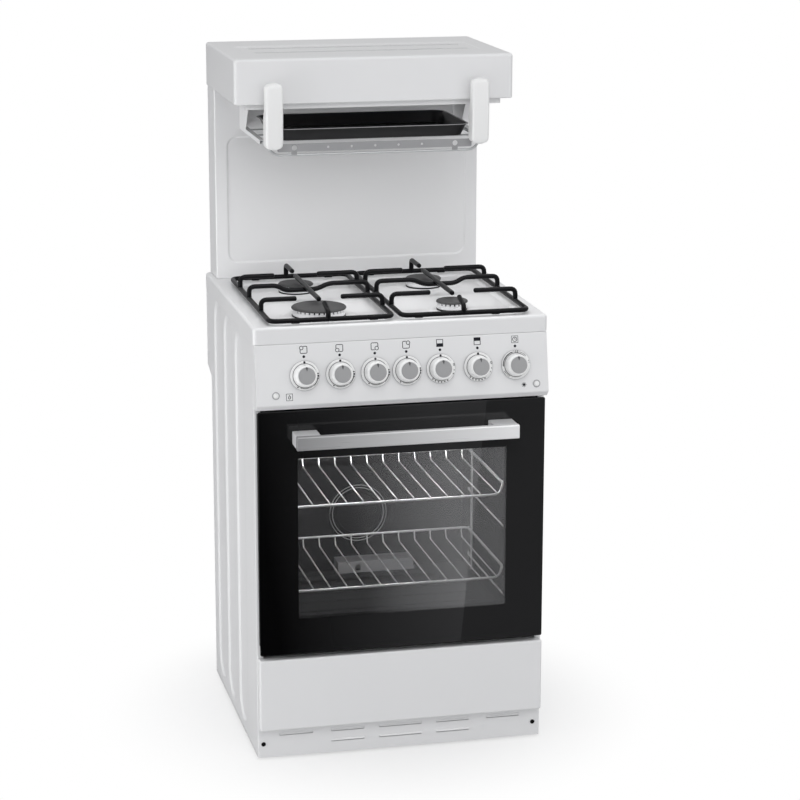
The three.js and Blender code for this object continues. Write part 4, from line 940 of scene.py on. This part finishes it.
# ------------------------------------------------------------------ grill tray
def build_tray():
    z, low = 1231.0, 1207.0
    tubes = [([(-228, 500, z), (-228, 254, z), (-208, 246, low), (208, 246, low), (228, 254, z), (228, 500, z)],
              2.5, 12, False)]
    for y in (290, 375, 460):
        tubes.append(([(-228, y, z), (228, y, z)], 2.0, 5, False))
    rods("tray_wires", tubes, ZINC, "grill_tray", "chrome_wire", replaces=["grill_carriage"])
    bm = bmesh.new()
    sides = (242.0, 243.5)
    loops = [rounded(-203, 1214, 203, 1230, 3)]
    loops += [circle(r, 24, x, 1222) for x, r in [(-168, 5.5), (168, 5.5)] + [(i * 49, 2.6) for i in range(-2, 3)]]
    edges = {y: [] for y in sides}
    for loop in loops:
        rows = []
        for y in sides:
            row = [bm.verts.new(place(a, y, b)) for a, b in loop]
            edges[y] += [bm.edges.new(pair) for pair in zip(row, row[1:] + row[:1])]
            rows.append(row)
        skin(bm, *rows)
    for y in sides:
        bmesh.ops.triangle_fill(bm, edges=edges[y], use_beauty=True)
    finish_mesh("tray_strip", bm, STRIP, "grill_tray", "chrome_wire")
    bm = bmesh.new()
    for x in (-168, 168):
        low_ring = [place(x - 6, 243.5, 1207), place(x + 6, 243.5, 1207), place(x + 6, 243.5, 1216),
                    place(x - 6, 243.5, 1216)]
        high_ring = [v + Vector((0, 0.0015, 0)) for v in low_ring]
        add_prism(bm, low_ring, high_ring)
    finish_mesh("tray_tabs", bm, STRIP, "grill_tray", "chrome_wire", bevel=0.4)


build_tray()


def build_grill_handle(side, label):
    """A curved grip: rounded sections stacked along z."""
    rings = []
    steps, low, high = 40, 1222.0, 1357.0
    centre, end_radius = side * 214.0, 12.0
    for i in range(steps + 1):
        t = i / steps
        z = low + (high - low) * t
        end = min(z - low, high - z)
        shrink = 0.0
        if end <= end_radius:
            shrink = end_radius - math.sqrt(max(end_radius ** 2 - (end_radius - end) ** 2, 0.0))
        bow = 4.5 * (1 - (2 * t - 1) ** 2)
        front = 211.5 - bow + shrink * 0.45
        back = 241.6 - 11.6 * min(max((z - 1283) / 22.0, 0.0), 1.0) - shrink * 0.45
        half = max(18.0 - shrink, 3.0)
        corner = min(6.0, half * 0.9, (back - front) / 2.2)
        rings.append((rounded(centre - half, front, centre + half, back, (corner, 2, 2, corner), 6), z))
    loft("grip_" + label, rings, PLASTIC, "grill_tray", "white_plastic", replaces=["grill_handle_" + label], angle=60)


build_grill_handle(-1, "left")
build_grill_handle(1, "right")


def build_pan():
    floor, rim = 1233.3, 1258.3

    def ring(inset, r):
        return rounded(-205 + inset, 252 + inset, 205 - inset, 494 - inset, r)

    rings = [(ring(16, 17), floor), (ring(14.6, 18), floor + 0.6), (ring(13.8, 19), floor + 2.5),
             (ring(4.5, 24), rim - 1.6), (ring(0.8, 26), rim - 1.5), (ring(0, 27), rim - 0.9),
             (ring(0.4, 27), rim - 0.2), (ring(1.2, 26), rim), (ring(5.2, 24), rim - 0.2),
             (ring(7, 22), rim - 2), (ring(15.6, 17), floor + 4), (ring(17, 16), floor + 2),
             (ring(19.5, 14), floor + 1.5)]
    loft("pan_shell", rings, PAN, "pan_body", "black_enamel", replaces=["grill_pan"])
    # painted highlight: a grey band over the top of the black pan's rim
    rim_highlight = [(ring(4.0, 25), rim - 0.1), (ring(3.6, 25), rim + 0.25), (ring(0.6, 27), rim + 0.25),
           (ring(0.1, 27), rim - 0.5)]
    loft("pan_rim_highlight", rim_highlight, GREY_TRIM_AND_PAINTED_LIGHT, "pan_body", "black_enamel", cap=(False, False), closed=False)


build_pan()

# ------------------------------------------------------------------ small fixings
for screw_x in (-287, 283):
    head = [(0, 0), (4.6, 0), (4.6, 1.0), (3.6, 2.0), (1.6, 2.2), (1.4, 1.2), (0, 1.2)]
    turn = Matrix.Rotation(math.radians(90), 4, "X")
    lathe("plinth_screw_%s" % ("left" if screw_x < 0 else "right"), head, SCREW, CASE, "foot_plastic",
          Matrix.Translation(place(screw_x, 10.5, 34)) @ turn, 28)

# ------------------------------------------------------------------ floor, light and camera
def build_stage():
    """A white floor: plain to light, fading to pure white round the cooker, and dark in polished surfaces."""
    bm = bmesh.new()
    corners = [(-6, -7), (6, -7), (6, 6), (-6, 6)]
    bm.faces.new([bm.verts.new((x, y, 0)) for x, y in corners])
    mesh = bpy.data.meshes.new("floor")
    bm.to_mesh(mesh)
    bm.free()
    floor = bpy.data.objects.new("floor", mesh)
    bpy.context.scene.collection.objects.link(floor)
    mat = bpy.data.materials.new("floor_white")
    mat.use_nodes = True
    tree = mat.node_tree
    shader, out = tree.nodes["Principled BSDF"], tree.nodes["Material Output"]
    shader.inputs["Base Color"].default_value = grey(0.82)
    shader.inputs["Roughness"].default_value = 0.7
    mesh.materials.append(mat)
    path = add_node(tree, "ShaderNodeLightPath")
    coords = add_node(tree, "ShaderNodeTexCoord")
    away = add_node(tree, "ShaderNodeVectorMath", {0: coords.outputs["Object"]}, operation="LENGTH")
    fade = add_node(tree, "ShaderNodeMapRange", {"From Min": 0.25, "From Max": 0.62, "To Min": 0.55, "To Max": 1.0,
                                                 "Value": away.outputs["Value"]}, interpolation_type="SMOOTHSTEP")
    weight = add_node(tree, "ShaderNodeMath", {0: path.outputs["Is Camera Ray"], 1: fade.outputs["Result"]},
                      operation="MULTIPLY")
    glow = add_node(tree, "ShaderNodeEmission", {"Color": grey(1)})
    dim = add_node(tree, "ShaderNodeEmission", {"Color": grey(0.03)})
    blend = add_node(tree, "ShaderNodeMixShader", {0: weight.outputs[0], 1: shader.outputs[0], 2: glow.outputs[0]})
    mirrored = add_node(tree, "ShaderNodeMixShader", {0: path.outputs["Is Glossy Ray"], 1: blend.outputs[0],
                                                      2: dim.outputs[0]})
    tree.links.new(mirrored.outputs[0], out.inputs["Surface"])


build_stage()


def build_world():
    """Even light, white to the camera, and to polished surfaces bright above and dim at the horizon."""
    world = bpy.data.worlds.new("studio")
    bpy.context.scene.world = world
    world.use_nodes = True
    tree = world.node_tree
    base = tree.nodes["Background"]
    base.inputs["Color"].default_value = (0.97, 0.98, 1.0, 1)
    base.inputs["Strength"].default_value = 0.60
    coords = add_node(tree, "ShaderNodeTexCoord")
    split = add_node(tree, "ShaderNodeSeparateXYZ", {"Vector": coords.outputs["Generated"]})
    rise = add_node(tree, "ShaderNodeMapRange", {"From Min": -0.1, "From Max": 0.5, "To Min": 0.10, "To Max": 1.0,
                                                 "Value": split.outputs["Z"]})
    white = add_node(tree, "ShaderNodeBackground", {"Color": grey(1)})
    sky = add_node(tree, "ShaderNodeBackground", {"Color": grey(1), "Strength": rise.outputs["Result"]})
    path = add_node(tree, "ShaderNodeLightPath")
    mirrored = add_node(tree, "ShaderNodeMixShader", {0: path.outputs["Is Glossy Ray"], 1: base.outputs[0],
                                                      2: sky.outputs[0]})
    blend = add_node(tree, "ShaderNodeMixShader", {0: path.outputs["Is Camera Ray"], 1: mirrored.outputs[0],
                                                   2: white.outputs[0]})
    tree.links.new(blend.outputs[0], tree.nodes["World Output"].inputs["Surface"])


build_world()


def area_light(name, location, target, size, energy):
    data = bpy.data.lights.new(name, "AREA")
    data.shape = "RECTANGLE"
    data.size, data.size_y = size
    data.energy = energy
    lamp = bpy.data.objects.new(name, data)
    bpy.context.scene.collection.objects.link(lamp)
    lamp.location = location
    lamp.visible_camera = False
    direction = Vector(target) - Vector(location)
    lamp.rotation_euler = direction.to_track_quat("-Z", "Y").to_euler()


LIGHTS = {  # where it hangs, what it faces, its sides in metres, its watts
    "key_light": ((1.5, -1.9, 1.3), (0, 0, 0.6), (1.2, 1.2), 5.5),
    "front_light": ((-0.2, -3.2, 3.6), (0, 0.1, 0.9), (3.0, 2.0), 30),
    "left_light": ((-1.9, -0.4, 0.5), (0, 0, 0.45), (1.2, 1.2), 15),
    "top_light": ((0.2, -0.9, 4.0), (0, 0, 0.9), (2.4, 1.6), 9),
    "hob_light": (place(0, 120, 1190), place(0, 140, 905), (0.6, 0.2), 0.8),
    "oven_light": (place(0, 60, 672), place(0, 300, 420), (0.36, 0.02), 1.5),
}
for light, values in LIGHTS.items():
    area_light(light, *values)

CAMERA_AT = place(-1117.3, -4733.7, 1948.6)
YAW, PITCH, ROLL = math.radians(13.23), math.radians(13.9), math.radians(0.08)
FOCAL_PIXELS, PHOTO_PIXELS, SENSOR = 2511.0, 800.0, 36.0


def build_camera():
    forward = Vector((math.sin(YAW) * math.cos(PITCH), math.cos(YAW) * math.cos(PITCH), -math.sin(PITCH)))
    right = Vector((math.cos(YAW), -math.sin(YAW), 0))
    up = right.cross(forward)
    across = right * math.cos(ROLL) + up * math.sin(ROLL)
    upward = up * math.cos(ROLL) - right * math.sin(ROLL)
    data = bpy.data.cameras.new("camera")
    data.sensor_width = SENSOR
    data.lens = SENSOR * FOCAL_PIXELS / PHOTO_PIXELS
    camera = bpy.data.objects.new("camera", data)
    bpy.context.scene.collection.objects.link(camera)
    turn = Matrix((across, upward, -forward)).transposed().to_4x4()
    camera.matrix_world = Matrix.Translation(CAMERA_AT) @ turn
    bpy.context.scene.camera = camera


build_camera()
bpy.context.scene.view_settings.view_transform = "Standard"

bpy.context.view_layer.update()
